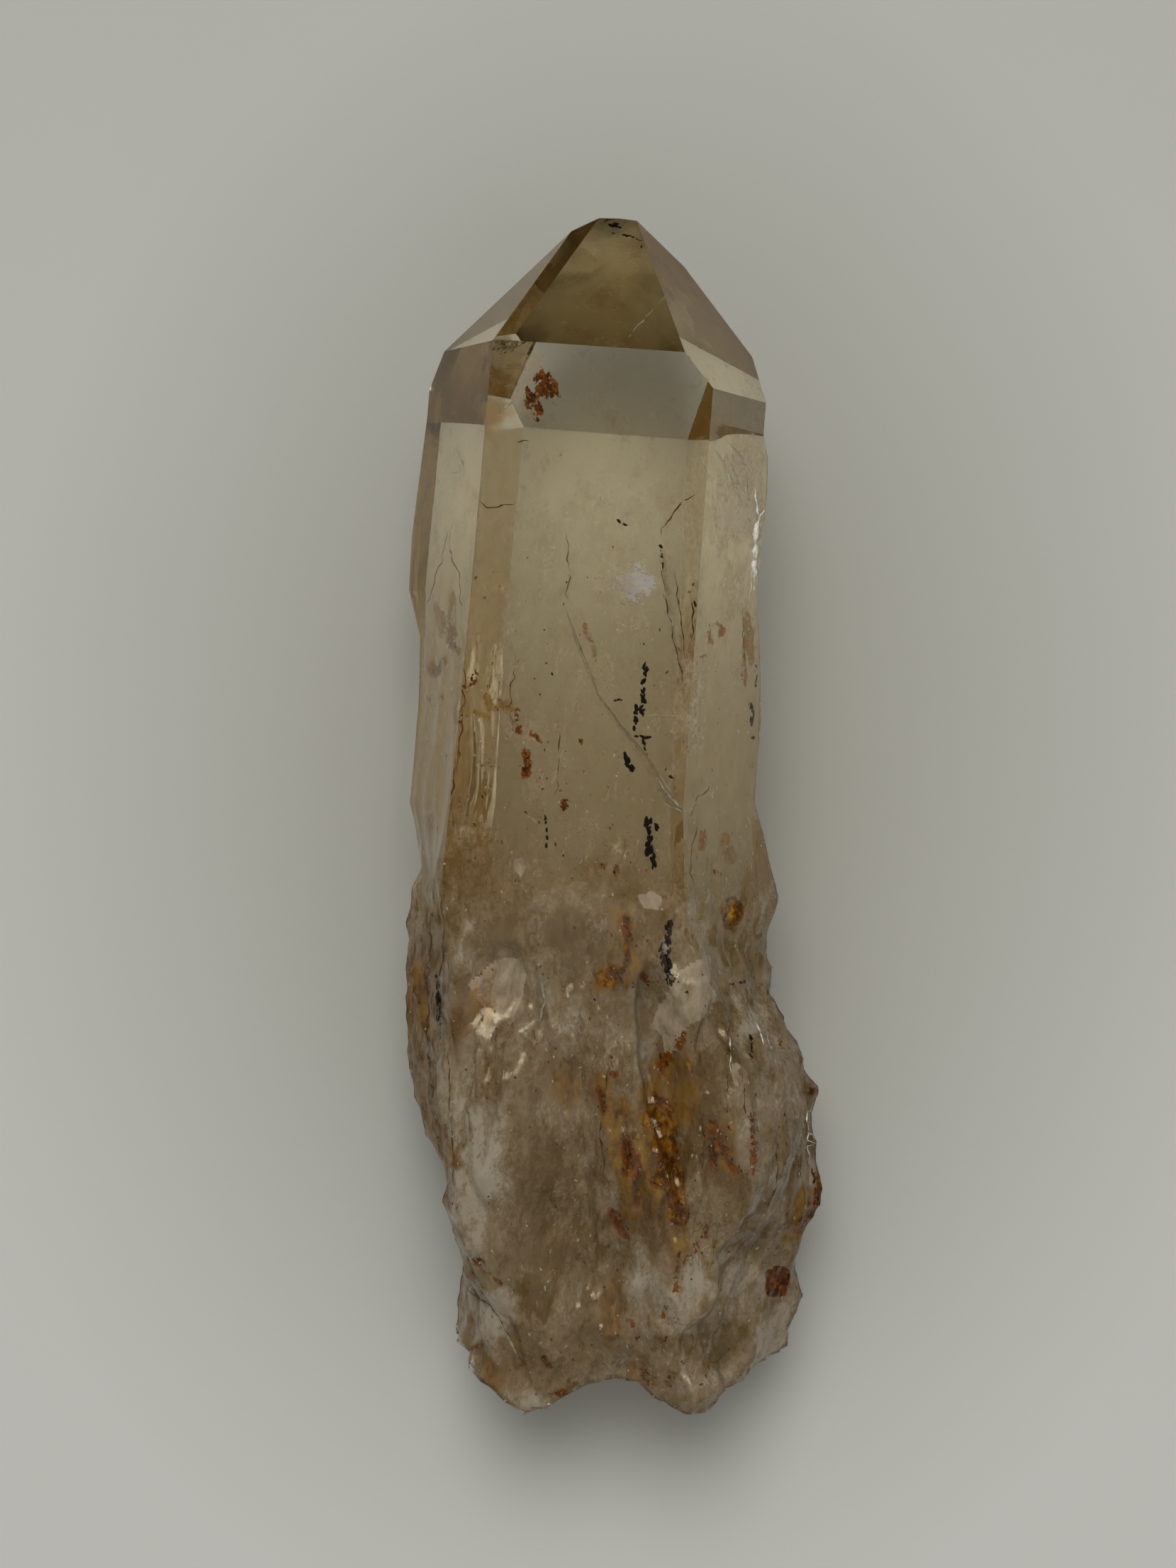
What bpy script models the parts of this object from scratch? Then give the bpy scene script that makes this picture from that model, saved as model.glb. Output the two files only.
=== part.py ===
"""A smoky citrine crystal: one quartz point lying on a prism face, with a rough, broken root.

The crystal grew along one axis. Its tip half is a clean six-sided prism closed by six sloping end
faces. Its root half swells to one side, loses its flat faces in ledges, ridges and hollow chips,
and ends in a broken base with two lobes and a notch between them.

Frame: +Z up, the crystal lies on the plane z = 0, its growth axis runs along Y with the tip at +Y,
and the origin is the middle of the bounding box, on that plane. The sizes below are in millimetres,
in a working frame: x across, z up, and t along the crystal from its tip at 0 to its base.
"""

import math

import bmesh
import bpy
import numpy as np

MM = 0.001

# The clean prism: two upper edges, the widest point of each side, and the slopes of its faces
LENGTH = 89.5
UPPER_LEFT_EDGE = (-7.9, 20.1)
LEFT_WIDEST_X = -12.75
UPPER_RIGHT_X = 8.25
RIGHT_WIDEST_X = 12.4
LOWER_RIGHT_X = 7.6
LOWER_LEFT_X = -4.95
ROLL_DEG = 4.5
END_FACE_DEG = 38.2

# Where each end face meets its prism face, in the order top, right, and so on round to the left
SHOULDERS = (11.1, 13.55, 9.75, 15.85, 13.9, 11.2)
PRISM_END = 16.0

# How the six long edges stray from the clean prism towards the root: (t, shift in x, shift in z)
EDGE_DRIFT = {
    "upper left": [(16, 0, 0), (44, -0.3, 0.0), (50, -0.6, -0.4), (58, 0.1, -1.4), (66, 1.2, -2.0),
                   (72, 2.2, -3.0), (77, 3.6, -3.8), (83, 4.6, -5.2), (90, 5.6, -7.4)],
    "upper right": [(16, 0, 0), (44, 0.2, 0.0), (50, 0.8, -0.6), (56, 2.0, -1.4), (62, 4.8, -1.8),
                    (68, 7.0, -1.6), (73, 7.2, -2.4), (77, 5.4, -4.0), (83, 5.0, -5.2), (90, 4.4, -7.6)],
    "right": [(16, 0, 0), (17.5, 0.45, 0), (20, 0.6, 0), (28, 0.45, -0.6), (30.7, 0.9, -1.0),
              (37, 1.6, -2.0), (43, 1.7, -3.0), (46.5, 2.9, -3.6), (50, 4.0, -4.2), (54, 3.3, -4.6),
              (57, 3.9, -5.0), (60, 5.3, -5.4), (62, 7.5, -5.6), (64.5, 8.9, -5.7), (66, 8.7, -5.8),
              (71, 9.7, -6.0), (73, 9.7, -6.2), (75.2, 8.4, -6.6), (77, 7.5, -6.8),
              (83.5, 7.7, -7.0), (90, 7.0, -7.4)],
    "lower right": [(16, 0, 0), (36, 0.6, 0), (50, 1.4, 0), (60, 3.6, 0), (66, 6.2, 0), (72, 7.4, 0),
                    (77, 5.8, 0), (83, 5.8, 0), (90, 5.2, 0)],
    "lower left": [(16, 0, 0), (30, -0.2, 0), (50, 0.2, 0), (60, 0.8, 0), (70, 2.2, 0), (76, 4.4, 0),
                   (83, 5.2, 0), (90, 6.2, 0)],
    "left": [(16, 0, 0), (25, -0.45, 0), (29, -0.35, -0.2), (32.5, 0.75, -0.4), (38, 1.0, -0.6),
             (45, 0.85, -0.8), (48.5, 1.85, -1.0), (50, 2.3, -1.0), (51.2, 1.9, -1.0), (56, 1.9, -1.2),
             (62, 2.1, -1.4), (67, 2.6, -1.6), (70, 3.4, -1.8), (75, 6.3, -2.2), (80.5, 7.1, -2.6),
             (85, 7.6, -3.0), (90, 8.2, -3.4)],
}

# The broken end: how far the crystal reaches at each x, seen from above
BASE_LINE = [(-6.0, 81.5), (-4.6, 85.0), (-2.9, 87.5), (-1.0, 89.0), (0.5, 89.5), (1.7, 89.3),
             (3.2, 88.2), (4.9, 87.2), (7.2, 86.6), (8.8, 86.6), (10.4, 87.7), (12.4, 88.7),
             (13.5, 88.4), (14.8, 87.0), (17.7, 85.3), (19.5, 84.0), (21.0, 81.5)]
BASE_START = 77.0
BASE_DISH = 2.2

# Local forms on the upper side: (x, t, half width, half length, lean in degrees, height)
UPPER_FORMS = [
    (-4.0, 58.0, 3.4, 3.6, 12.0, -0.9),
    (8.8, 63.5, 1.7, 9.0, 12.0, -1.7),
    (9.6, 57.8, 2.2, 4.6, -20.0, 0.5),
    (15.6, 66.0, 3.4, 8.0, 14.0, 1.2),
    (-2.2, 67.0, 3.2, 8.5, 6.0, 0.8),
    (3.2, 77.0, 4.4, 9.0, 4.0, -1.1),
    (11.4, 78.5, 2.8, 3.6, 0.0, 0.9),
    (13.6, 83.6, 2.6, 3.2, 0.0, -0.9),
    (-3.2, 84.0, 2.4, 4.4, 28.0, -1.0),
]

# Roughness: where it starts and is whole along the crystal, its depths and the chips' sizes
ROUGH_START = 46.0
ROUGH_WHOLE = 58.0
CHIP_DEPTH = 1.5
CHIP_SIZE = (5.2, 10.5, 5.2)
SPLINTER_DEPTH = 0.75
SPLINTER_SIZE = (2.4, 8.5, 2.4)

# The broken tip: planes, each by a point and an outward direction, both as (x, t, z)
TIP_START = 0.15
TIP_CHIPS = [
    ((0.2, 0.30, 12.3), (0.05, -1.0, 0.45)),
    ((-1.4, 0.35, 12.0), (-0.62, -1.0, 0.10)),
    ((2.2, 0.65, 12.2), (0.70, -1.0, -0.15)),
]

# Mesh: points along each of the six sides, and the steps along the crystal
POINTS_PER_SIDE = (12, 9, 12, 10, 12, 10)
CLEAR_STEP = 6.0
ROUGH_STEP = 1.15
BASE_ROWS = 9
BASE_RINGS = 6
MERGE = 0.00002
EDGE_ORDER = ("upper left", "upper right", "right", "lower right", "lower left", "left")

CITRINE_COLOUR = (0.62, 0.47, 0.27, 1.0)
CITRINE_ROUGHNESS = 0.12


def prism_corners():
    """The clean prism's six corners in x and z, clockwise from the upper left one.

    The top face is rolled to the left, and the two faces beside it stand 60 degrees from it. The
    face that the crystal rests on lies flat, and the two lower faces join it to the widest points.
    """
    angles = np.radians(np.array([0.0, 60.0, 300.0]) - ROLL_DEG)
    slopes = -np.tan(angles)
    upper_left_x, upper_left_z = UPPER_LEFT_EDGE
    upper_right_z = upper_left_z + slopes[0] * (UPPER_RIGHT_X - upper_left_x)
    right_z = upper_right_z + slopes[1] * (RIGHT_WIDEST_X - UPPER_RIGHT_X)
    left_z = upper_left_z + slopes[2] * (LEFT_WIDEST_X - upper_left_x)
    return np.array([(upper_left_x, upper_left_z), (UPPER_RIGHT_X, upper_right_z),
                     (RIGHT_WIDEST_X, right_z), (LOWER_RIGHT_X, 0.0), (LOWER_LEFT_X, 0.0),
                     (LEFT_WIDEST_X, left_z)])


def prism_sides():
    """Each prism face's outward (x, z) direction, and its distance from the working frame's axis."""
    corners = prism_corners()
    along = np.roll(corners, -1, axis=0) - corners
    along /= np.linalg.norm(along, axis=-1, keepdims=True)
    normals = np.stack([-along[:, 1], along[:, 0]], axis=-1)
    return normals, (normals * corners).sum(axis=-1)


def clean_corners(t):
    """The six corners of the clean crystal's cross-section at each t, as an array (t, corner, xz).

    Each side is a line that moves in as its end face closes over the prism. Along every line the
    others leave a stretch; a side with no stretch left has closed up, and takes its neighbour's end.
    Corner k lies between side k - 1 and side k.
    """
    normals, prism_reach = prism_sides()
    along = np.stack([normals[:, 1], -normals[:, 0]], axis=-1)
    slope = math.tan(math.radians(END_FACE_DEG))
    reach = prism_reach - slope * np.maximum(np.array(SHOULDERS) - t[:, None], 0.0)
    low = np.full(reach.shape, -1.0e3)
    high = np.full(reach.shape, 1.0e3)
    for side in range(6):
        for other in range(6):
            turn = normals[other] @ along[side]
            if abs(turn) < 1.0e-6:
                continue
            room = reach[:, other] - reach[:, side] * (normals[other] @ normals[side])
            if turn > 0.0:
                high[:, side] = np.minimum(high[:, side], room / turn)
            else:
                low[:, side] = np.maximum(low[:, side], room / turn)
    starts = reach[..., None] * normals + low[..., None] * along
    ends = reach[..., None] * normals + high[..., None] * along
    closed = low > high
    for _ in range(2):
        for side in range(6):
            hit = closed[:, side]
            starts[hit, side] = ends[hit, side - 1]
            ends[hit, side] = starts[hit, side]
    return starts


def closing_stations():
    """The t values at which a side closes up near the tip, read from where its length reaches zero."""
    t = np.linspace(0.15, 12.0, 800)
    corners = clean_corners(t)
    lengths = np.linalg.norm(np.roll(corners, -1, axis=1) - corners, axis=-1)
    stations = []
    for side in range(6):
        open_now = lengths[:, side] > 1.0e-6
        for row in np.flatnonzero(open_now[1:] & ~open_now[:-1]) + 1:
            grown = lengths[row + 1, side] - lengths[row, side]
            stations.append(t[row] - lengths[row, side] * (t[1] - t[0]) / grown)
    return stations


def drifted_corners(t):
    """The six corners at each t, with each long edge moved off the clean prism by its drift."""
    corners = clean_corners(t)
    for index, path in enumerate(EDGE_DRIFT[name] for name in EDGE_ORDER):
        stations, shift_x, shift_z = np.array(path, dtype=float).T
        corners[:, index, 0] += np.interp(t, stations, shift_x)
        corners[:, index, 1] += np.interp(t, stations, shift_z)
    return corners


def rings(corners):
    """Points round each section: every side is divided evenly between its two corners."""
    following = np.roll(corners, -1, axis=1)
    sides = []
    for side, count in enumerate(POINTS_PER_SIDE):
        share = np.arange(count)[None, :, None] / count
        start = corners[:, side, None, :]
        sides.append(start + (following[:, side, None, :] - start) * share)
    return np.concatenate(sides, axis=1)


def cell_value(cell, seed):
    """One repeatable number from 0 to 1 for each whole-number cell (i, j, k)."""
    n = cell[..., 0] * 73856093 + cell[..., 1] * 19349663 + cell[..., 2] * 83492791 + seed * 26544357
    n = (n ^ (n >> 13)) * 1274126177
    n = n ^ (n >> 16)
    return (n & 0xFFFFFF) / 0xFFFFFF


def chips(points, size, seed):
    """Hollow chips with sharp crests between them, about -1 in a hollow and 1 on a crest.

    Space is divided into cells of the given size, each with one centre. The value is the least,
    over the cells around, of the squared distance to the centre plus a tilt and a lift of its own.
    """
    q = points / np.array(size)
    home = np.floor(q).astype(np.int64)
    least = np.full(points.shape[:-1], 9.0)
    for step in np.ndindex(3, 3, 3):
        cell = home + np.array(step) - 1
        centre = cell + np.stack([cell_value(cell, seed + k) for k in range(3)], axis=-1)
        tilt = np.stack([cell_value(cell, seed + k) for k in range(3, 6)], axis=-1) - 0.5
        away = q - centre
        value = (away ** 2).sum(-1) + (away * tilt).sum(-1) + 0.4 * cell_value(cell, seed + 6)
        least = np.minimum(least, value)
    return np.clip(least * 2.4 - 1.0, -1.0, 1.6)


def smooth_step(value, low, high):
    """0 below low, 1 above high, and 3f^2 - 2f^3 between them."""
    f = np.clip((value - low) / (high - low), 0.0, 1.0)
    return f * f * (3.0 - 2.0 * f)


def upper_forms(x, t, z):
    """The local mounds, hollows, plate and groove of the upper side, as plateaus with sloping rims."""
    total = np.zeros_like(x)
    for centre_x, centre_t, half_width, half_length, lean, height in UPPER_FORMS:
        a = math.radians(lean)
        across = ((x - centre_x) * math.cos(a) - (t - centre_t) * math.sin(a)) / half_width
        down = ((x - centre_x) * math.sin(a) + (t - centre_t) * math.cos(a)) / half_length
        total += height * np.clip(1.5 * (1.0 - across ** 2 - down ** 2), 0.0, 1.0)
    return total * smooth_step(z, 8.0, 14.0)


def roughened(section, t):
    """Move the root's points in or out from each section's middle by its chips and local forms."""
    x, z = section[..., 0], section[..., 1]
    middle = section.mean(axis=1, keepdims=True)
    outward = section - middle
    outward /= np.linalg.norm(outward, axis=-1, keepdims=True)
    points = np.stack([x, t, z], axis=-1)
    rough = smooth_step(t, ROUGH_START, ROUGH_WHOLE)
    shift = CHIP_DEPTH * chips(points, CHIP_SIZE, 11) + SPLINTER_DEPTH * chips(points, SPLINTER_SIZE, 29)
    shift = rough * 0.5 * shift + smooth_step(t, ROUGH_START, ROUGH_START + 6.0) * upper_forms(x, t, z)
    moved = section + outward * shift[..., None]
    moved[..., 1] = np.maximum(moved[..., 1], 0.0)
    return moved


def loft_stations():
    """The t of every section: the edges' own turns, the closing sides, and even steps between."""
    turns = {float(row[0]) for path in EDGE_DRIFT.values() for row in path}
    clear = np.arange(PRISM_END, ROUGH_START, CLEAR_STEP)
    rough = np.arange(ROUGH_START, BASE_START, ROUGH_STEP)
    chosen = {TIP_START, *SHOULDERS, *closing_stations(), *clear, *rough, BASE_START}
    chosen |= {turn for turn in turns if PRISM_END <= turn < ROUGH_START}
    ordered = sorted(value for value in chosen if value >= TIP_START)
    kept = [ordered[0]]
    for value in ordered[1:]:
        if value - kept[-1] > 0.02:
            kept.append(value)
    return np.array(kept)


def base_reach(x):
    """How far the broken end reaches at each x."""
    line_x, line_t = np.array(BASE_LINE).T
    return np.interp(x, line_x, line_t)


def crystal_grid():
    """All the crystal's points as an array (row, column, xtz), from the tip to the base's middle."""
    t = loft_stations()
    ends = np.linspace(BASE_START, LENGTH, BASE_ROWS + 1)[1:]
    section = rings(drifted_corners(np.concatenate([t, ends])))
    stations = np.broadcast_to(np.concatenate([t, ends])[:, None], section.shape[:2]).copy()
    share = (ends - BASE_START) / (LENGTH - BASE_START)
    reach = base_reach(section[len(t):, :, 0])
    stations[len(t):] = BASE_START + share[:, None] * (reach - BASE_START)
    section = roughened(section, stations)
    grid = np.stack([section[..., 0], stations, section[..., 1]], axis=-1)
    rim = grid[-1]
    middle = rim.mean(axis=0)
    end_rows = []
    for ring in range(1, BASE_RINGS + 1):
        scale = 1.0 - ring / BASE_RINGS
        row = middle + (rim - middle) * scale
        row[:, 1] = base_reach(row[:, 0]) - BASE_DISH * (1.0 - scale ** 2)
        row[:, 1] += SPLINTER_DEPTH * chips(row, CHIP_SIZE, 53)
        end_rows.append(row)
    end_rows[-1][:] = end_rows[-1].mean(axis=0)
    return np.concatenate([grid, np.array(end_rows)])


def build_mesh(grid):
    """Skin the grid as a closed surface, knock off the broken tip, and stand it on its origin."""
    rows, columns = grid.shape[:2]
    body = bmesh.new()
    verts = [[body.verts.new((p[0] * MM, -p[1] * MM, p[2] * MM)) for p in row] for row in grid.tolist()]
    for upper, lower in zip(verts[:-1], verts[1:]):
        for c in range(columns):
            d = (c + 1) % columns
            body.faces.new((upper[c], upper[d], lower[d], lower[c]))
    body.faces.new(verts[0][::-1])
    bmesh.ops.remove_doubles(body, verts=body.verts, dist=MERGE)
    bmesh.ops.dissolve_degenerate(body, dist=MERGE, edges=body.edges)
    for (x, t, z), (nx, nt, nz) in TIP_CHIPS:
        everything = body.verts[:] + body.edges[:] + body.faces[:]
        cut = bmesh.ops.bisect_plane(body, geom=everything, plane_co=(x * MM, -t * MM, z * MM),
                                     plane_no=(nx, -nt, nz), clear_outer=True)
        rim = [piece for piece in cut["geom_cut"] if isinstance(piece, bmesh.types.BMEdge)]
        bmesh.ops.contextual_create(body, geom=rim)
    bmesh.ops.triangulate(body, faces=body.faces, quad_method="FIXED")
    bmesh.ops.recalc_face_normals(body, faces=body.faces)
    low = [min(v.co[axis] for v in body.verts) for axis in range(3)]
    high = [max(v.co[axis] for v in body.verts) for axis in range(3)]
    origin = ((low[0] + high[0]) / 2.0, (low[1] + high[1]) / 2.0, low[2])
    bmesh.ops.translate(body, verts=body.verts, vec=[-value for value in origin])
    mesh = bpy.data.meshes.new("crystal")
    body.to_mesh(mesh)
    body.free()
    return mesh


def citrine_material():
    """Smoky yellow quartz, as one plain Principled material."""
    material = bpy.data.materials.new("citrine")
    material.use_nodes = True
    shader = material.node_tree.nodes["Principled BSDF"]
    shader.inputs["Base Color"].default_value = CITRINE_COLOUR
    shader.inputs["Roughness"].default_value = CITRINE_ROUGHNESS
    shader.inputs["Metallic"].default_value = 0.0
    return material


def main():
    for old in list(bpy.context.scene.objects):
        bpy.data.objects.remove(old, do_unlink=True)
    mesh = build_mesh(crystal_grid())
    mesh.materials.append(citrine_material())
    crystal = bpy.data.objects.new("crystal", mesh)
    collection = bpy.data.collections.new("citrine crystal")
    bpy.context.scene.collection.children.link(collection)
    collection.objects.link(crystal)


main()
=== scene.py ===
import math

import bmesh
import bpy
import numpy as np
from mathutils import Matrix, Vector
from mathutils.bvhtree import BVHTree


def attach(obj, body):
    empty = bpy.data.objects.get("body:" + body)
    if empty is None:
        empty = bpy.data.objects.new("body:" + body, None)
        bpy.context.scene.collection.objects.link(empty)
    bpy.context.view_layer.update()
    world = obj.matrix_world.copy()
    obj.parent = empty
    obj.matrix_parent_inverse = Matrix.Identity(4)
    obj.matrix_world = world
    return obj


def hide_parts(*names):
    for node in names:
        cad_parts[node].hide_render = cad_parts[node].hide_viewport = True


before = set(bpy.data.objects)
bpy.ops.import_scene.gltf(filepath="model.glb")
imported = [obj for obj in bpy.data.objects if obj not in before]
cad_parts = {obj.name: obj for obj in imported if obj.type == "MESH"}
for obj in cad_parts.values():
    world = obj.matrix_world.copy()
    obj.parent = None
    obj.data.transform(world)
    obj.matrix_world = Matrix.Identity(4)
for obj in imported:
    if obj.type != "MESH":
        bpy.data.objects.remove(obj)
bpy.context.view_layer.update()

# A smoky citrine crystal on pale paper, seen from straight above, as one clear quartz body with the
# milky veils, iron stain, cracks, threads and dark grains that lie inside it.
#
# The shapes are worked out in a working frame in millimetres: x across, z up, and t along the crystal
# from its tip. placed() turns it into the part's own frame, in metres.

MM = 0.001
AXIS_X = -4.236
TIP_Y = 44.892

# The clean prism and its end faces, as in the part
LENGTH = 89.5
UPPER_LEFT_EDGE = (-7.9, 20.1)
LEFT_WIDEST_X = -12.75
UPPER_RIGHT_X = 8.25
RIGHT_WIDEST_X = 12.4
LOWER_RIGHT_X = 7.6
LOWER_LEFT_X = -4.95
ROLL_DEG = 4.5
END_FACE_DEG = 38.2
SHOULDERS = (11.1, 13.55, 9.75, 15.85, 13.9, 11.2)
PRISM_END = 16.0
EDGE_ORDER = ("upper left", "upper right", "right", "lower right", "lower left", "left")
EDGE_DRIFT = {
    "upper left":
        (16, 0, 0, 44, -0.3, 0, 50, -0.6, -0.4, 58, 0.1, -1.4, 66, 1.2, -2, 72, 2.2, -3, 77, 3.6, -3.8,
         83, 4.6, -5.2, 90, 5.6, -7.4),
    "upper right":
        (16, 0, 0, 44, 0.2, 0, 50, 0.8, -0.6, 56, 2, -1.4, 62, 4.8, -1.8, 68, 7, -1.6, 73, 7.2, -2.4,
         77, 5.4, -4, 83, 5, -5.2, 90, 4.4, -7.6),
    "right":
        (16, 0, 0, 17.5, 0.45, 0, 20, 0.6, 0, 28, 0.45, -0.6, 30.7, 0.9, -1, 37, 1.6, -2, 43, 1.7, -3,
         46.5, 2.9, -3.6, 50, 4, -4.2, 54, 3.3, -4.6, 57, 3.9, -5, 60, 5.3, -5.4, 62, 7.5, -5.6, 64.5,
         8.9, -5.7, 66, 8.7, -5.8, 71, 9.7, -6, 73, 9.7, -6.2, 75.2, 8.4, -6.6, 77, 7.5, -6.8, 83.5,
         7.7, -7, 90, 7, -7.4),
    "lower right":
        (16, 0, 0, 36, 0.6, 0, 50, 1.4, 0, 60, 3.6, 0, 66, 6.2, 0, 72, 7.4, 0, 77, 5.8, 0, 83, 5.8, 0,
         90, 5.2, 0),
    "lower left":
        (16, 0, 0, 30, -0.2, 0, 50, 0.2, 0, 60, 0.8, 0, 70, 2.2, 0, 76, 4.4, 0, 83, 5.2, 0, 90, 6.2, 0),
    "left":
        (16, 0, 0, 25, -0.45, 0, 29, -0.35, -0.2, 32.5, 0.75, -0.4, 38, 1, -0.6, 45, 0.85, -0.8, 48.5,
         1.85, -1, 50, 2.3, -1, 51.2, 1.9, -1, 56, 1.9, -1.2, 62, 2.1, -1.4, 67, 2.6, -1.6, 70, 3.4,
         -1.8, 75, 6.3, -2.2, 80.5, 7.1, -2.6, 85, 7.6, -3, 90, 8.2, -3.4),
}
BASE_LINE = (-6, 81.5, -4.6, 85, -2.9, 87.5, -1, 89, 0.5, 89.5, 1.7, 89.3, 3.2, 88.2, 4.9, 87.2, 7.2, 86.6,
             8.8, 86.6, 10.4, 87.7, 12.4, 88.7, 13.5, 88.4, 14.8, 87, 17.7, 85.3, 19.5, 84, 21, 81.5)
BASE_START = 77.0
BASE_DISH = 2.2
# Mounds and hollows of the upper side: (x, t, half width, half length, lean in degrees, height)
UPPER_FORMS = [
    (-4, 58, 3.4, 3.6, 12, -0.9), (8.8, 63.5, 1.7, 9, 12, -1.7), (9.6, 57.8, 2.2, 4.6, -20, 0.5),
    (15.6, 66, 3.4, 8, 14, 1.2), (-2.2, 67, 3.2, 8.5, 6, 0.8), (3.2, 77, 4.4, 9, 4, -1.1),
    (11.4, 78.5, 2.8, 3.6, 0, 0.9), (13.6, 83.6, 2.6, 3.2, 0, -0.9), (-3.2, 84, 2.4, 4.4, 28, -1),
]
ROUGH_START = 46.0
ROUGH_WHOLE = 58.0
CHIP_DEPTH = 1.5
CHIP_SIZE = (5.2, 10.5, 5.2)
SPLINTER_DEPTH = 0.75
SPLINTER_SIZE = (2.4, 8.5, 2.4)
TIP_START = 0.15
TIP_CHIPS = [
    ((0.2, 0.30, 12.3), (0.05, -1.0, 0.45)),
    ((-1.4, 0.35, 12.0), (-0.62, -1.0, 0.10)),
    ((2.2, 0.65, 12.2), (0.70, -1.0, -0.15)),
]

# The finer relief that only the looks have: (cell size, depth, seed), on the root and on the faces
FINE_CHIPS = [
    ((1.1, 3.2, 1.1), 0.26, 61),
    ((0.55, 1.5, 0.55), 0.10, 83),
]
FACE_CHIPS = ((2.6, 8.0, 2.6), 0.16, 97)
FACE_CHIPS_START = 19.0

# Mesh of the body: points along each side, steps in its clear and rough stretches, rows round the base
# and rings over it
BODY_SIDES = (66, 44, 54, 50, 54, 44)
CLEAR_STEP = 0.75
ROUGH_STEP = 0.30
BASE_ROWS = 44
BASE_RINGS = 36
MERGE = 0.00001
SHARP_DEG = 22.0

# Mesh of the stained skin just inside the body, finest on its upper side
SKIN_INSET = 0.16
SKIN_SIDES = (92, 32, 22, 14, 18, 46)
SKIN_START = 1.2
SKIN_STEP = 0.26
SKIN_BASE_ROWS = 36
SKIN_RINGS = 20

# How much the milk and the brown wash cover where they are thickest
CLOUD_COVER = 0.70
CLOUD_CONTRAST = 1.45
WASH_COVER = 0.95

# Optics of smoky quartz: absorption per metre is density * (1 - colour)
QUARTZ_IOR = 1.544
SURFACE_TINT = (1.0, 0.88, 0.68)
ABSORPTION_DENSITY = 13.0
ABSORPTION_COLOUR = (0.91, 0.71, 0.06)

# Colours, linear. Those inside the quartz are paler than they look, because the surface keeps light in.
# A ramp's stops are (position, red, green, blue).
MILK_STOPS = [
    (0, 0.16, 0.09, 0.038), (0.25, 0.31, 0.22, 0.13), (0.5, 0.465, 0.37, 0.27),
    (0.75, 0.65, 0.56, 0.45), (1, 0.9, 0.86, 0.76),
]
RUST_STOPS = [
    (0, 0.06, 0.016, 0.001), (0.3, 0.13, 0.03, 0.001), (0.6, 0.3, 0.08, 0.002), (1, 0.52, 0.22, 0.012),
]
GOLD_STOPS = [(0.36, 0.1, 0.03, 0.001), (0.48, 0.27, 0.095, 0.002), (0.66, 0.48, 0.215, 0.012)]
STROKE_STOPS = [(0.34, 0.05, 0.012, 0.001), (0.5, 0.17, 0.034, 0.001), (0.68, 0.38, 0.11, 0.003)]
OCHRE_STOPS = [(0.36, 0.22, 0.08, 0.004), (0.64, 0.52, 0.29, 0.05)]
FLAKE_STOPS = [(0.36, 0.44, 0.34, 0.22), (0.62, 0.78, 0.65, 0.48)]
CRACK_STOPS = [(0.35, 0.58, 0.46, 0.27), (0.65, 0.82, 0.74, 0.56)]
RAINBOW_STOPS = [
    (0.3, 0.95, 0.92, 0.82), (0.42, 0.94, 0.84, 0.78), (0.48, 0.84, 0.78, 0.84),
    (0.54, 0.82, 0.88, 0.86), (0.62, 0.94, 0.9, 0.72), (0.74, 0.98, 0.96, 0.9),
]
LIMONITE_STOPS = [(0.38, 0.09, 0.035, 0.002), (0.5, 0.28, 0.13, 0.006), (0.64, 0.46, 0.25, 0.015)]
BROWN_WASH = (0.58, 0.35, 0.09)
THREAD_BROWN = (0.17, 0.075, 0.022)
PALE_FLECK = (0.82, 0.76, 0.62)
# Painted highlight: the white of the chipped edges' glints
PAINTED_HIGHLIGHT_WHITE = (0.95, 0.95, 0.88)
GRAPHITE = (0.006, 0.005, 0.004)
WHITE = (1.0, 1.0, 1.0)
PAPER = (0.58, 0.595, 0.605)
# Painted shade: the paper's colour close beside the crystal
PAPER_PAINTED_SHADE = (0.39, 0.395, 0.365)
# Painted light: the paper's colour under the crystal's clear part
PAPER_PAINTED_LIGHT = (0.60, 0.60, 0.57)
# Painted light on the strip of paper under the clear part: how far from the axis it is whole, and where it
# ends
PAINTED_LIGHT_STRIP = (0.0095, 0.0130)
PAPER_HALF = 15.0
PAPER_DROP = 0.00002

# Noise: (scale per metre, stretch along the crystal, detail, roughness)
NOISE = {
    "frost": (2600, 2.4, 2, 0.55), "patches": (300, 1.3, 2, 0.55), "streaks": (900, 1.9, 3, 0.65),
    "specks": (2700, 1.3, 2, 0.65), "lines": (700, 2.6, 3, 0.6), "veil": (620, 2.4, 4, 0.62),
    "rust": (4200, 1.2, 2, 0.55), "grains": (4600, 1.5, 2, 0.55), "limonite": (2300, 1, 4, 0.55),
    "crack": (1500, 2.4, 4, 0.6), "rainbow bands": (900, 0.8, 2, 0.55),
    "rainbow petals": (1150, 0.7, 3, 0.6), "paper clouds": (60, 1, 3, 0.55),
    "paper tooth": (2600, 1, 3, 0.55),
}
# Cells of one tone each in the cloud: (scale per metre, stretch along the crystal)
FACETS = (520.0, 2.2)

# Stains over the milk, the lowest first: (ramp, breakup of the edge, fade from, fade to, cover)
STAIN_LAYERS = {
    "pale": (FLAKE_STOPS, 0.35, 0.40, 0.58, 0.92),
    "ochre": (OCHRE_STOPS, 1.0, 0.45, 1.00, 0.80),
    "gold": (GOLD_STOPS, 1.0, 0.40, 0.75, 0.96),
    "rust": (STROKE_STOPS, 1.3, 0.82, 1.02, 0.96),
    "iron": (STROKE_STOPS, 0.2, 0.42, 0.56, 0.92),
}

# Finish of the quartz: roughness where it is frosted and elsewhere, and the same for its bump
FROSTED_ROUGHNESS = 0.32
CLEAR_ROUGHNESS = 0.008
FROSTED_BUMP = 0.22
CLEAR_BUMP = 0.010
BUMP_DISTANCE = 0.0002
PLAIN_GLOSS = 0.5

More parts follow.
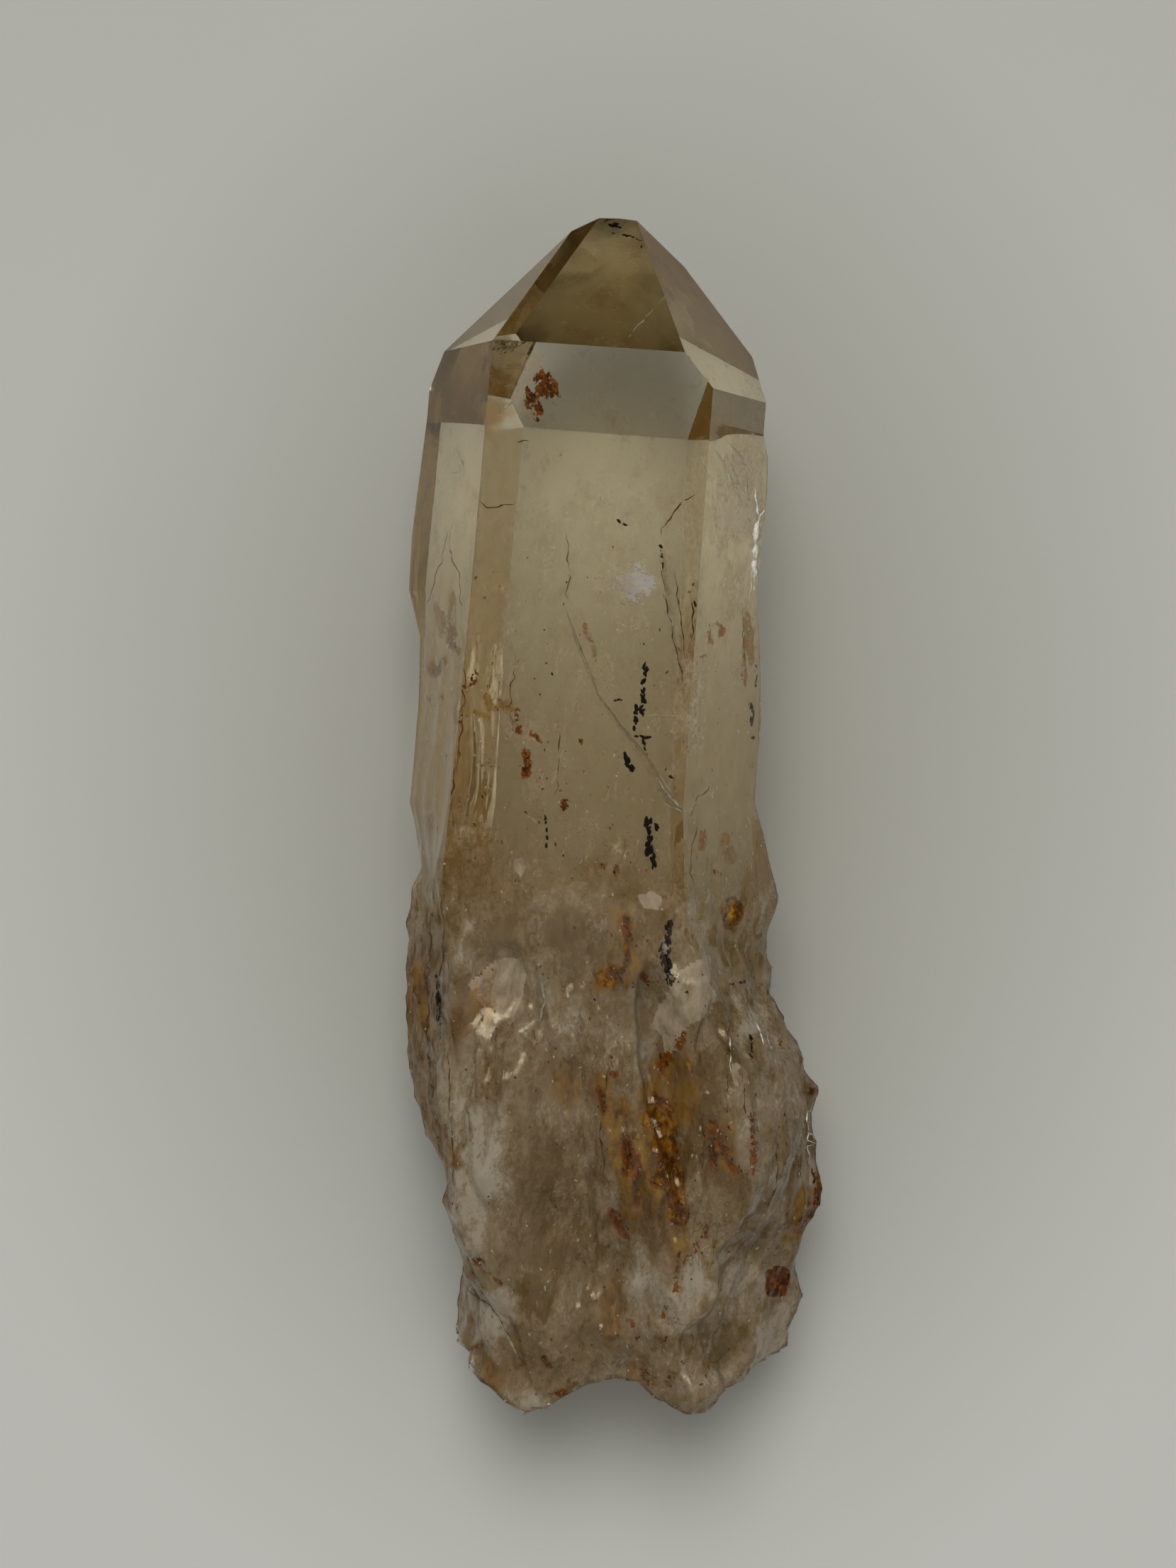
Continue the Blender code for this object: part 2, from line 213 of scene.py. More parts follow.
# The surround's light by the height of its direction: 0 at the horizon, 1 overhead
SURROUND_STOPS = [
    (0, 0.05, 0.05, 0.04), (0.22, 0.16, 0.15, 0.13), (0.4, 0.85, 0.83, 0.76), (0.55, 1.2, 1.16, 1.06),
    (0.84, 1.3, 1.26, 1.14), (0.91, 0.6, 0.57, 0.48), (0.96, 0.36, 0.335, 0.27),
]
SURROUND_STRENGTH = 0.4
# Parts of the surround with a light of their own: (direction, edges of its cosine, colour, weight)
SURROUND_PARTS = [
    ((-0.08, 0.52, 0.85), (0.93, 0.985), (17.0, 16.6, 15.4), 1.0),
    ((0.66, 0.05, 0.75), (0.88, 0.95), (0.50, 0.43, 0.29), 0.85),
]
FILL_PLACE = (0.60, -0.20, 0.85)
FILL_COLOUR = (1.0, 0.985, 0.95)
FILL_SIZE = 0.4
FILL_POWER = 0.3

# Marks below are placed as they appear from straight above, at the top face's level, in working (x, t).
# A path or an outline is given as x, t, x, t and so on, and a path has its half width before it.

# Rust under the skin
RUST = [
    (0.48, -4, 13.7, -3.4, 14.2, -3.2, 15), (0.4, -4.3, 13.7, -4, 14.6),
    (0.34, -5, 14.9, -4.7, 14.7, -4.8, 15.6), (0.3, -4.3, 15.7, -4, 16), (0.12, -4.2, 16.7),
    (0.18, -9, 32.2, -9.1, 33.3, -8.5, 33.9), (0.36, -10.2, 35.4, -9.9, 35.1), (0.18, -9.4, 34.7),
    (0.18, -7.9, 36.4), (0.2, -7.3, 35.3, -7.3, 36.1), (0.12, -9.4, 37.2), (0.12, -10.4, 37.5),
    (0.18, -8.1, 38.2, -8.1, 38.9), (0.24, -4, 38.1, -3.8, 39.3), (0.28, -3, 40.8, -2.9, 42.3),
    (0.1, -2.7, 39.6, -2.2, 39.8), (0.18, 0.7, 39.6), (0.24, -0.1, 44.1, 0, 44.6),
    (0.07, 9.4, 30.3, 9.3, 31.2, 9.6, 31.7), (0.09, 9.8, 30.3, 10.3, 30.6, 10.1, 31),
    (0.1, 8.6, 33.4, 8.9, 32.8, 9.2, 32.7), (0.05, 11.6, 28.4, 11.8, 30.4, 12.1, 34.6),
    (0.14, 12, 29.5), (0.3, -9.6, 46.1, -9.2, 46.8), (0.18, -8.4, 48.9), (0.2, 3, 48.4),
    (0.1, 3.9, 48.4, 4, 49), (0.16, 10.1, 45.5, 10.1, 46.6), (0.16, 11.1, 48.1, 11.6, 48.5),
    (0.12, 15.7, 50.7, 15.7, 51.4), (0.18, -6.9, 57.6), (0.14, -5.1, 57), (0.22, 5, 52, 5.5, 54),
    (0.26, 4.2, 56, 5, 56.7), (0.3, 6.6, 56, 7.2, 56.9), (0.18, 4.2, 64.6, 4.6, 66), (0.3, 5, 63.2),
    (0.16, 4.7, 62.1), (0.34, 9.7, 60.1, 8.9, 61.4, 8.3, 62.3), (0.26, 8, 65, 8.8, 64.8),
    (0.3, 6.3, 67.9, 6.8, 70.1), (0.18, 8.3, 70.8, 9, 71.3), (0.2, 10, 71.6, 10.6, 72.6, 11, 72.9),
    (0.24, 5.7, 73, 6.9, 74.7), (0.28, 12.2, 66.1, 12.7, 69.7), (0.22, 13, 67, 13.6, 68.6, 14.4, 69.4),
    (0.16, 15.3, 66.4, 15.7, 69.3), (0.24, 14.9, 69.4, 15, 70.1),
    (0.28, 20.4, 69, 20.4, 71.5, 19.2, 73.2), (0.18, 12.4, 73.8, 12.4, 74.5),
    (0.08, 11.6, 74.8, 12, 75.6), (0.12, 10.7, 75.5, 10.5, 78.5), (0.1, 11, 76.5, 11.7, 76),
    (0.12, 10.1, 79.5, 10, 80), (0.08, 10.5, 80.5, 11, 80.5), (0.12, 10.3, 81.8, 10.1, 82.3),
    (0.12, 7.8, 81.3), (0.12, 8.2, 82.1), (0.26, 16.7, 60.1), (0.28, 19.1, 63.3, 19.4, 63.7),
    (0.28, -3.9, 77.3, -3.5, 77.6), (0.12, -2.3, 78.6, -1.9, 79.2), (0.22, 0.2, 84.6),
    (0.22, 1.5, 84, 1.9, 84.7), (0.18, 3.4, 86.4, 2.1, 86.8), (0.22, 8.7, 84.4, 9.2, 84.9),
    (0.22, 10.9, 84.9), (0.16, -3.3, 83.7), (0.16, -9.1, 57, -8.8, 58.5),
    (0.2, 13.3, 67.2, 13.8, 68.8, 14.5, 69.4), (0.1, 12.6, 65.8, 12.8, 66.8),
    (0.15, 15, 65.3, 15.3, 65.8), (0.15, 12.4, 64.8), (0.15, 13.6, 66.5), (0.15, 9.7, 67.7, 9.8, 68.4),
    (0.18, 9.9, 69.3, 9.5, 69.2, 8.6, 70.2), (0.15, 9, 65.5, 9.3, 65.4), (0.12, 9.8, 67.3, 10, 69.3),
    (0.15, 8.2, 61.5, 8.5, 62.7), (0.13, 7.2, 68.9, 7.2, 69.3), (0.13, 7.4, 69.5, 7.2, 71.1),
    (0.15, 6.1, 70, 6.5, 70.4), (0.2, 7.2, 72.1, 7.4, 72.2), (0.14, 20.9, 69.2, 20.8, 71),
    (0.14, 19.2, 73, 20.1, 72.2),
]

# Golden-brown stains with darker rims, as outlines
GOLD_STAINS = [
    (7.8, 64.8, 8.4, 64.4, 9.1, 64.6, 9.5, 65.4, 9.3, 66, 10, 66.8, 9.9, 67.3, 9.7, 68.3, 9.9, 69.3,
     9.5, 69.9, 8.8, 70.2, 8.6, 69.9, 8.5, 68.9, 7.9, 68.3, 8.2, 67.4, 7.8, 66.9, 7.2, 67.1, 7.3, 66.4),
    (8, 70.6, 8.6, 70.2, 9.3, 69.4, 9.9, 69.3, 10.4, 70.1, 10.8, 69.9, 11, 71.8, 11.2, 73.1, 11.1,
     73.7, 10.7, 73.9, 10.1, 73.7, 9.7, 73.2, 9.7, 72.4, 9.3, 71.4, 8.7, 71.4),
    (9.5, 60.6, 9.9, 60, 9.9, 60.6, 9.2, 61.7, 8.7, 62.2, 8.4, 63.4, 8.1, 64.7, 7.8, 64.8, 8.1, 63.3,
     8.3, 62.2, 8.9, 61.3),
    (12.3, 67.1, 13.1, 67.4, 13.8, 68.8, 13.3, 68.6, 12.9, 69.1, 12.7, 69.9, 12.3, 69.1),
    (20.4, 68.5, 20.8, 69, 20.9, 71, 20.3, 72.2, 19.3, 73.2, 18.9, 73.1, 19.5, 71.9, 20.1, 71.1, 20.2,
     69.5),
    (6.7, 67.5, 7.2, 69.5, 7.7, 72.1, 7.2, 72.6, 6.7, 70.1, 6.4, 68.3),
    (5, 51.8, 5.5, 52, 5.6, 55.3, 5.4, 56.3, 5, 56, 5, 53.8),
    (2.9, 56.1, 3.6, 55.9, 5.2, 55.7, 5.2, 56.8, 4.3, 57.2, 3.4, 57),
    (11.6, 50.6, 12, 50, 12.8, 49.7, 13.3, 50.3, 13.3, 51.3, 12.8, 52.1, 12, 52.1, 11.7, 51.4),
]

# Softer ochre stain
OCHRE = [
    (0.4, -6, 37.3, -4.9, 37.8), (0.2, -6.9, 38.4, -6.3, 38.6), (0.1, 0.6, 31.4, 0.9, 32.6, 1, 34),
    (0.25, -10.4, 30.8, -9.6, 32.9), (0.2, -9.2, 29.6, -9, 33), (0.9, 5.9, 66.6, 6.9, 72.1),
    (0.8, 9.7, 62.2, 10.2, 65.2), (0.6, 13.2, 66.5, 13.9, 69.5),
    (1.25, 8.8, 62.5, 8.4, 67.5, 9.6, 72.6), (0.25, 11.3, 45.9, 12.2, 47.4),
    (0.2, 12.1, 29.7, 12.4, 32.7), (0.5, -9.7, 56.5, -9, 61.6), (0.4, -7.7, 66.6, -6, 70.6),
    (0.2, -2.9, 83.7, -1.7, 85.6), (0.34, 4.9, 51.7, 5.5, 54.4), (0.55, 3.8, 56.4, 5, 56.9, 5.8, 55.3),
    (0.6, 8.5, 61.8, 8, 68), (0.5, 20, 71, 19, 73.6), (0.4, 4.4, 63.5, 4.8, 66.4),
]

# The square flake of dark iron oxide, and the pale plates, as outlines
IRON_FLAKE = (16.9, 76.6, 17.6, 76.3, 17.8, 76.1, 18.7, 76.2, 18.8, 77.4, 18.6, 78.2, 17.2, 78.4, 17, 77.5)
PALE_PLATES = [
    (-6, 57.7, -4.1, 55.7, -2.2, 55.4, -1.8, 56.7, -2, 58.3, -2.6, 60.4, -4.1, 59.8, -5.3, 58.7),
    (11.2, 54.1, 11.3, 56.4, 11.9, 57, 11.5, 58.3, 9.9, 59.8, 9, 61.7, 8.4, 61.4, 8.1, 60.1, 7.2, 59.8,
     8.6, 56.7, 9.2, 55.6),
    (13.3, 61.9, 13.9, 61.8, 14.1, 63.8, 13.6, 63.4),
    (-3.4, 48.4, -2.8, 48.2, -2.4, 48.9, -2.7, 49.7, -3.3, 49.3),
    (5.7, 50.3, 6.7, 49.9, 7.6, 50.4, 7.3, 51.2, 6.2, 51.2),
]

# Cloudy patches: (x, t, half width, half length, lean in degrees, change of tone, change of milk)
CLOUDS = [
    (-4.8, 14.6, 1.7, 2.2, 20, 0.1, 0.24), (10.6, 20.5, 2.1, 4.6, 0, 0.2, 0.42),
    (7.4, 21.5, 2.4, 4, 20, 0.1, 0.14), (2.8, 27.5, 2.2, 2, 0, 0.2, 0.12),
    (-1.5, 21, 4, 4, 0, 0.2, 0.1), (10.8, 28.5, 1.6, 3, 0, 0, 0.2), (0, 53.5, 4.5, 2.6, 0, -0.22, 0.1),
    (-4.8, 54.2, 1.6, 1.8, 0, -0.26, 0.1), (6.6, 53.6, 2, 2.6, 0, -0.1, 0),
    (-4, 72.6, 1.7, 7.4, 4, 0.5, 0.34), (-6.2, 66, 1.4, 4.6, 8, 0.26, 0.14),
    (-1.2, 64.5, 2.4, 3, 0, 0.14, 0.1), (1.6, 74.8, 3, 7.4, 12, -0.2, -0.18),
    (1.6, 84, 2.6, 3, 0, -0.08, -0.1), (-0.2, 80, 1.6, 3.4, 28, -0.2, -0.15),
    (13.8, 81.4, 3, 2.2, -6, -0.24, -0.2), (12.7, 60.2, 1.3, 3.8, 6, -0.2, -0.2),
    (11.4, 66.8, 1.5, 5.2, 4, -0.36, -0.1), (16, 64.5, 2.6, 5, 16, 0.16, 0.2),
    (14.9, 58.8, 0.8, 3.4, 30, 0.36, 0.2), (11.4, 79, 3, 2.2, 8, 0.3, 0.25),
    (8, 77.2, 1.4, 2.6, 0, 0.24, 0.2), (15.4, 76.6, 2, 1.8, 0, 0.26, 0.2),
    (17.8, 81.4, 1.5, 3.2, 0, 0.5, 0.3), (-2.8, 82.8, 2.4, 3.8, 32, 0.5, 0.3),
    (-8.6, 58, 1, 6, 2, -0.22, 0), (-7, 57, 0.6, 6, 2, 0.24, 0.1), (20, 68, 1.1, 3.4, 10, 0.3, 0.1),
    (6.6, 61.5, 1.2, 2.6, 0, 0.2, 0.1), (2.6, 59, 2.4, 2.4, 0, 0.04, 0.1),
    (9, 86.8, 3.4, 1.8, 0, 0.22, 0.2), (1, 88, 2.4, 1.4, 0, 0.2, 0.2),
    (11.8, 52.6, 2.6, 2.2, 0, -0.05, -0.35), (8, 37, 1, 9.5, 0, 0.05, 0.12),
]

# Pale threads under the skin
PALE_THREADS = [
    (0.03, 5, 37.3, 6.3, 37.3, 8, 37.1), (0.07, -7.1, 16.8, -6.6, 16, -6, 15.5),
    (0.06, -6.7, 14.5, -6.3, 14.3), (0.028, 4.6, 6.7, 3.7, 7.9, 2.5, 9.3, 1.6, 10.6),
    (0.05, 8.5, 17.3, 9.5, 18.9, 10.6, 20.6, 11.3, 22.6), (0.05, 9, 16.7, 10.6, 18, 11.6, 19.2),
    (0.05, 7.7, 18.2, 8.7, 20.2, 9.2, 23.2), (0.05, 8.2, 21.3, 9.2, 23, 10, 26.3),
    (0.07, 6.4, 41.7, 7.5, 43.1, 8.6, 44.1), (0.06, 7, 43.5, 8.6, 44.2),
    (0.05, 9.4, 17.6, 10.4, 19.6, 11.6, 21.4), (0.1, -0.9, 56.6, -0.4, 58.3, -0.6, 60.3),
    (0.09, -4.9, 78.7, -2.4, 80.7, -1, 83, 0.2, 84.9), (0.08, 14, 57, 14.8, 59.4),
    (0.08, 15.8, 59.4, 16.6, 61.6), (0.09, 19.9, 64.6, 20.3, 67.6), (0.06, -2.7, 45.3, -1.9, 45.7),
    (0.035, 8.9, 44.4, 9.7, 42.8, 10.8, 41.2), (0.05, -8.2, 24, -8.3, 30, -8, 36),
]

# Painted highlights: white threads on the surface along chipped edges, standing in for the light that the
# edges catch
PAINTED_EDGE_HIGHLIGHTS = [
    (0.36, 12.6, 21.8, 12.2, 23.2, 12.3, 25.6, 12.4, 27.8), (0.12, 11.8, 20.4, 12.3, 22.4),
    (0.06, 12.2, 25, 12, 28.6), (0.07, 14.9, 58.6, 15.5, 60, 15.9, 61.2),
    (0.09, 20.2, 64.8, 20.5, 67, 20.7, 68.4), (0.05, 13.2, 60, 13.4, 62.6),
]

# Thin brown threads on and under the faces
DARK_THREADS = [
    (0.045, 7.8, 21, 6.7, 21.7, 6, 22.6, 5.6, 23.5, 5.3, 24.6),
    (0.04, 5.4, 25.2, 5.9, 28.1, 6.5, 30.7, 7.4, 33.6, 8.1, 36.2),
    (0.035, 6.4, 26, 6.9, 28.6, 7.4, 30.6, 7.8, 33.4),
    (0.05, -7.9, 23, -7.3, 23.3, -6.5, 23.3, -6, 23, -5.4, 22.8),
    (0.06, -9.8, 24.6, -10, 26, -9.6, 27.2, -8.9, 28.1, -8.7, 30.3, -8.4, 31.8),
    (0.05, -9.8, 24.6, -10.3, 27.6, -10.9, 29.8, -11, 31.4),
    (0.045, -8.4, 31.8, -8.5, 36, -8.3, 41, -8, 47), (0.045, -8.1, 34.1, -7.9, 37.9, -7.9, 43),
    (0.04, -10.1, 21, -9, 20.9, -9.7, 19.5), (0.045, -5.6, 18.5, -4.7, 18.3),
    (0.07, -8.9, 50, -9, 56, -8.6, 62, -7.4, 69), (0.06, -10.2, 51, -10, 58, -9.4, 64),
    (0.06, -7.9, 52, -8, 58, -7.6, 64), (0.055, -4.9, 79, -2.3, 81, -0.8, 83.2, 0.3, 85.2),
    (0.035, 10.9, 18, 11.4, 21, 11.8, 23.6), (0.035, -1.4, 24.7, -1.1, 27.1, -1, 29.7),
    (0.045, 8.9, 44.8, 9.6, 43, 10.9, 41.4), (0.045, 11.6, 28.4, 11.8, 30.4, 12.1, 34.6),
    (0.045, 8, 28.5, 8.2, 31.8), (0.035, -0.8, 38.5, -0.7, 44),
    (0.035, -4.3, 33.4, -4.6, 37, -4.2, 39.5), (0.05, 13.2, 57.5, 13, 62, 13.4, 66),
    (0.05, 11.9, 62, 11.7, 66.5, 12.2, 71), (0.045, 14.4, 62.5, 14.8, 66),
    (0.045, 16.8, 66.4, 17.4, 69.5, 16.9, 72.4), (0.05, 4.6, 62, 4.3, 67, 5, 71.5),
    (0.045, -7.2, 62, -6.4, 68, -5.8, 73), (0.05, 9.7, 44, 9.4, 48, 9.9, 50.4),
    (0.04, 13.9, 45, 14.2, 50),
]

# Black grains
GRAPHITE_TRAILS = [
    (0.22, 5, 33.7, 5, 34.4), (0.17, 4.9, 34.8, 5, 37.2), (0.16, 4.5, 36.8, 4.6, 38.4),
    (0.16, 4.7, 38.8, 5.5, 38.9), (0.12, 5.1, 38.9, 5.5, 40), (0.2, 4.1, 40.4, 4.8, 42),
    (0.08, 3, 36.5, 3.4, 36.4), (0.08, 7.4, 41.6, 7.5, 41.7), (0.11, 12.9, 32.9, 13, 34.7),
    (0.18, 12.7, 35.9, 12.9, 36.7, 12.8, 37.3), (0.22, 12.9, 38.2, 13.2, 38.5),
    (0.08, 2, 23.4, 2.7, 23.8), (0.14, -1.4, 45.1, -1.2, 46.9), (0.08, -1.1, 47.2, -1.1, 47.4),
    (0.3, 6, 44.8, 6.3, 47.1), (0.18, 6.4, 47, 6.8, 48.4), (0.2, 6.7, 45.2, 6.8, 45.6),
    (0.44, 8.1, 52, 8, 54.4), (0.5, 8, 54.6, 8.5, 56.4), (0.14, 8.6, 57.5, 9.3, 57.7),
    (0.2, -8.2, 57.2, -7.8, 60.6), (0.12, 9.7, 56.9, 9.8, 57), (0.12, 12.7, 56.3, 13.8, 55.9),
    (0.12, 14.6, 59.7, 14.8, 61.5), (0.1, 5.4, 25.1, 5.7, 26.6), (0.12, 8.2, 29, 8.2, 29.2),
    (0.24, -0.1, 2.15, 0.8, 2.35), (0.06, 0.2, 2.9, 1.4, 3, 2.3, 3.3), (0.1, 2.3, 3.6, 2.35, 3.8),
    (0.12, -8.8, 41.4, -8.8, 41.6),
]

# Spacing and depth of the black grains, step along a thread, and fewest grains in a mark
GRAIN_SPACING = 0.17
GRAIN_DEPTH = 0.10
THREAD_STEP = 0.14
FEWEST = 3

# Rust grains to a square millimetre, numbers of stray grains, and the marks' depth and gloss
RUST_GRAINS = 18.0
STRAY_RUST = 1100
STRAY_PALE = 1300
MARK_DEPTH = 0.09
MARK_GLOSS = 0.05

# Healed cracks as films: (name, edge by the skin, foot deeper down, depth of the foot)
CRACKS = [
    ("diagonal_crack",
     (-1.1, 30, -0.3, 31.7, 0.8, 33.9, 1.8, 36.1, 3.7, 38.2, 5.7, 40.3, 7.4, 42.5, 8.6, 44.1),
     (-1.1, 30, -0.5, 31.9, 0.6, 34.1, 1.7, 36.2, 2.8, 37.8, 4.4, 39.6, 5.8, 41.5, 6.5, 42.8,
      7.8, 43.9, 8.6, 44.1), 1.6),
    ("right_crack", (5.4, 25.2, 5.9, 28.1, 6.5, 30.7, 7.4, 33.6, 8.1, 36.2),
     (6.4, 26, 6.9, 28.6, 7.4, 30.6, 7.8, 33.4, 8.2, 36.1), 1.2),
]
FILM_DEPTH = 0.15
FILM_HALF = 0.02

# The rainbow crack and the limonite lump: place as seen from above, half sizes, depth or cover
RAINBOW_PLACE = (3.8, 27.9)
RAINBOW_HALF = (1.9, 1.7)
RAINBOW_DEPTH = 1.0
LIMONITE_PLACE = (12.5, 51.0)
LIMONITE_HALF = (0.85, 1.15, 0.30)
LIMONITE_COVER = 0.04

# Deeper milky veils in the root: (share of the section, where it starts, milk, seed)
VEILS = [
    (0.80, 49.6, 0.95, 41),
    (0.42, 52.0, 0.85, 43),
]
VEIL_SIDES = (26, 18, 20, 22, 20, 18)
VEIL_STEP = 0.9
VEIL_BASE_ROWS = 12
VEIL_RINGS = 8
VEIL_INSET = 0.4

# The photograph's view: straight down, its frame leaning against the crystal
IMAGE_SIZE = (1659, 2212)
FOCAL_PIXELS = 4488.0
SENSOR_MM = 36.0
CAMERA_MM = (-2.72, 2.28, 250.0)
CAMERA_LEAN_DEG = 4.5
MARKS_LEVEL = 20.7
CLIP = (0.01, 10.0)
BOUNCES = {"max_bounces": 8, "transmission_bounces": 8, "glossy_bounces": 4, "diffuse_bounces": 2,
           "transparent_max_bounces": 12}


def placed(points):
    """Working (x, t, z) in millimetres to the part's frame in metres: (x + AXIS_X, TIP_Y - t, z) / 1000."""
    x, t, z = points[..., 0], points[..., 1], points[..., 2]
    return np.stack([x + AXIS_X, TIP_Y - t, z], axis=-1) * MM


def unplaced(points):
    """The way back: the part's frame in metres to working (x, t, z) in millimetres."""
    x, y, z = points[..., 0] / MM, points[..., 1] / MM, points[..., 2] / MM
    return np.stack([x - AXIS_X, TIP_Y - y, z], axis=-1)


def smooth_step(value, low, high):
    """0 below low, 1 above high, and 3f^2 - 2f^3 between them."""
    f = np.clip((value - low) / (high - low), 0.0, 1.0)
    return f * f * (3.0 - 2.0 * f)


def unit(vectors):
    """The vectors at length 1."""
    return vectors / np.maximum(np.linalg.norm(vectors, axis=-1, keepdims=True), 1.0e-9)


def path_points(path):
    """The points (x, t) of a path or an outline, from its numbers x, t, x, t and so on."""
    return np.reshape(np.asarray(path, dtype=float), (-1, 2))


def path_length(path):
    """The length of a path of straight stretches."""
    return np.linalg.norm(np.diff(path_points(path), axis=0), axis=-1).sum()


# Noise

def cell_value(cell, seed):
    """One repeatable number from 0 to 1 for each whole-number cell (i, j, k)."""
    n = cell[..., 0] * 73856093 + cell[..., 1] * 19349663 + cell[..., 2] * 83492791 + seed * 26544357
    n = (n ^ (n >> 13)) * 1274126177
    n = n ^ (n >> 16)
    return (n & 0xFFFFFF) / 0xFFFFFF


def chips(points, size, seed):
    """Hollow chips with sharp crests between them, about -1 in a hollow and 1 on a crest.

    Space is divided into cells of the given size, each with one centre. The value is the least,
    over the cells around, of the squared distance to the centre plus a tilt and a lift of its own.
    """
    q = points / np.array(size)
    home = np.floor(q).astype(np.int64)
    least = np.full(points.shape[:-1], 9.0)
    for step in np.ndindex(3, 3, 3):
        cell = home + np.array(step) - 1
        centre = cell + np.stack([cell_value(cell, seed + k) for k in range(3)], axis=-1)
        tilt = np.stack([cell_value(cell, seed + k) for k in range(3, 6)], axis=-1) - 0.5
        away = q - centre
        value = (away ** 2).sum(-1) + (away * tilt).sum(-1) + 0.4 * cell_value(cell, seed + 6)
        least = np.minimum(least, value)
    return np.clip(least * 2.4 - 1.0, -1.0, 1.6)


def soft_noise(points, size, seed):
    """Smooth noise from -1 to 1: cell values blended by 3f^2 - 2f^3 between a cell's eight corners."""
    q = points / np.array(size)
    home = np.floor(q).astype(np.int64)
    f = q - home
    f = f * f * (3.0 - 2.0 * f)
    total = np.zeros(points.shape[:-1])
    for step in np.ndindex(2, 2, 2):
        corner = np.array(step)
        weight = np.where(corner == 1, f, 1.0 - f).prod(-1)
        total += weight * cell_value(home + corner, seed)
    return total * 2.0 - 1.0


# Masks, from 0 to 1

def path_distance(x, t, path):
    """Least distance from each (x, t) to a path of straight stretches."""
    path = path_points(path)
    if len(path) == 1:
        return np.hypot(x - path[0, 0], t - path[0, 1])
    least = np.full(x.shape, 1.0e3)
    for (ax, at), (bx, bt) in zip(path[:-1], path[1:]):
        dx, dt = bx - ax, bt - at
        share = np.clip(((x - ax) * dx + (t - at) * dt) / (dx * dx + dt * dt), 0.0, 1.0)
        least = np.minimum(least, np.hypot(x - ax - share * dx, t - at - share * dt))
    return least


def strokes(x, t, marks, soft):
    """1 within a mark's half width, fading to 0 over a margin around it; the most of all marks.

    The margin is the soft one, or 0.15 + 1.5 * half width where that is less.
    """
    most = np.zeros(x.shape)
    for half_width, *path in marks:
        margin = min(soft, 0.15 + 1.5 * half_width)
        most = np.maximum(most, 1.0 - (path_distance(x, t, path) - half_width) / margin)
    return np.clip(most, 0.0, 1.0)


def plate(x, t, outline, soft):
    """1 inside an outline and 0 outside it, with a soft margin: from the crossing count and the distance."""
    corners = path_points(outline)
    following = np.roll(corners, -1, axis=0)
    odd = np.zeros(x.shape, dtype=bool)
    for (ax, at), (bx, bt) in zip(corners, following):
        if at == bt:
            continue
        crosses = (at > t) != (bt > t)
        odd ^= crosses & (x < ax + (t - at) * (bx - ax) / (bt - at))
    edge = path_distance(x, t, np.vstack([corners, corners[:1]]))
    return np.clip(0.5 + np.where(odd, edge, -edge) / soft, 0.0, 1.0)


def ellipse(x, t, centre_x, centre_t, half_width, half_length, lean, rise=1.6):
    """1 at the middle of a leaning ellipse, 0 from its rim on: rise * (1 - u^2 - v^2), held to 0 and 1."""
    cosine, sine = math.cos(math.radians(lean)), math.sin(math.radians(lean))
    across = ((x - centre_x) * cosine + (t - centre_t) * sine) / half_width
    down = ((t - centre_t) * cosine - (x - centre_x) * sine) / half_length
    return np.clip(rise * (1.0 - across ** 2 - down ** 2), 0.0, 1.0)


# The crystal's form, as in the part

def prism_corners():
    """The clean prism's six corners in x and z, clockwise from the upper left one.

    The top face is rolled to the left, and the two faces beside it stand 60 degrees from it. The
    face that the crystal rests on lies flat, and the two lower faces join it to the widest points.
    """
    angles = np.radians(np.array([0.0, 60.0, 300.0]) - ROLL_DEG)
    slopes = -np.tan(angles)
    upper_left_x, upper_left_z = UPPER_LEFT_EDGE
    upper_right_z = upper_left_z + slopes[0] * (UPPER_RIGHT_X - upper_left_x)
    right_z = upper_right_z + slopes[1] * (RIGHT_WIDEST_X - UPPER_RIGHT_X)
    left_z = upper_left_z + slopes[2] * (LEFT_WIDEST_X - upper_left_x)
    return np.array([(upper_left_x, upper_left_z), (UPPER_RIGHT_X, upper_right_z),
                     (RIGHT_WIDEST_X, right_z), (LOWER_RIGHT_X, 0.0), (LOWER_LEFT_X, 0.0),
                     (LEFT_WIDEST_X, left_z)])


def prism_sides():
    """Each prism face's outward (x, z) direction, and its distance from the working frame's axis."""
    corners = prism_corners()
    along = unit(np.roll(corners, -1, axis=0) - corners)
    normals = np.stack([-along[:, 1], along[:, 0]], axis=-1)
    return normals, (normals * corners).sum(axis=-1)


def clean_corners(t):
    """Six corners of the clean crystal's section at each t, as an array (t, corner, xz).

    A side is the line normal . p = prism reach - tan(end face) * max(shoulder - t, 0). The other five
    lines leave a stretch of it, and a side with no stretch left takes its neighbour's end.
    """
    normals, prism_reach = prism_sides()
    along = np.stack([normals[:, 1], -normals[:, 0]], axis=-1)
    slope = math.tan(math.radians(END_FACE_DEG))
    reach = prism_reach - slope * np.maximum(np.array(SHOULDERS) - t[:, None], 0.0)
    low = np.full(reach.shape, -1.0e3)
    high = np.full(reach.shape, 1.0e3)
    for side in range(6):
        for other in range(6):
            turn = normals[other] @ along[side]
            if abs(turn) < 1.0e-6:
                continue
            room = reach[:, other] - reach[:, side] * (normals[other] @ normals[side])
            if turn > 0.0:
                high[:, side] = np.minimum(high[:, side], room / turn)
            else:
                low[:, side] = np.maximum(low[:, side], room / turn)
    starts = reach[..., None] * normals + low[..., None] * along
    ends = reach[..., None] * normals + high[..., None] * along
    closed = low > high
    for _ in range(2):
        for side in range(6):
            hit = closed[:, side]
            starts[hit, side] = ends[hit, side - 1]
            ends[hit, side] = starts[hit, side]
    return starts


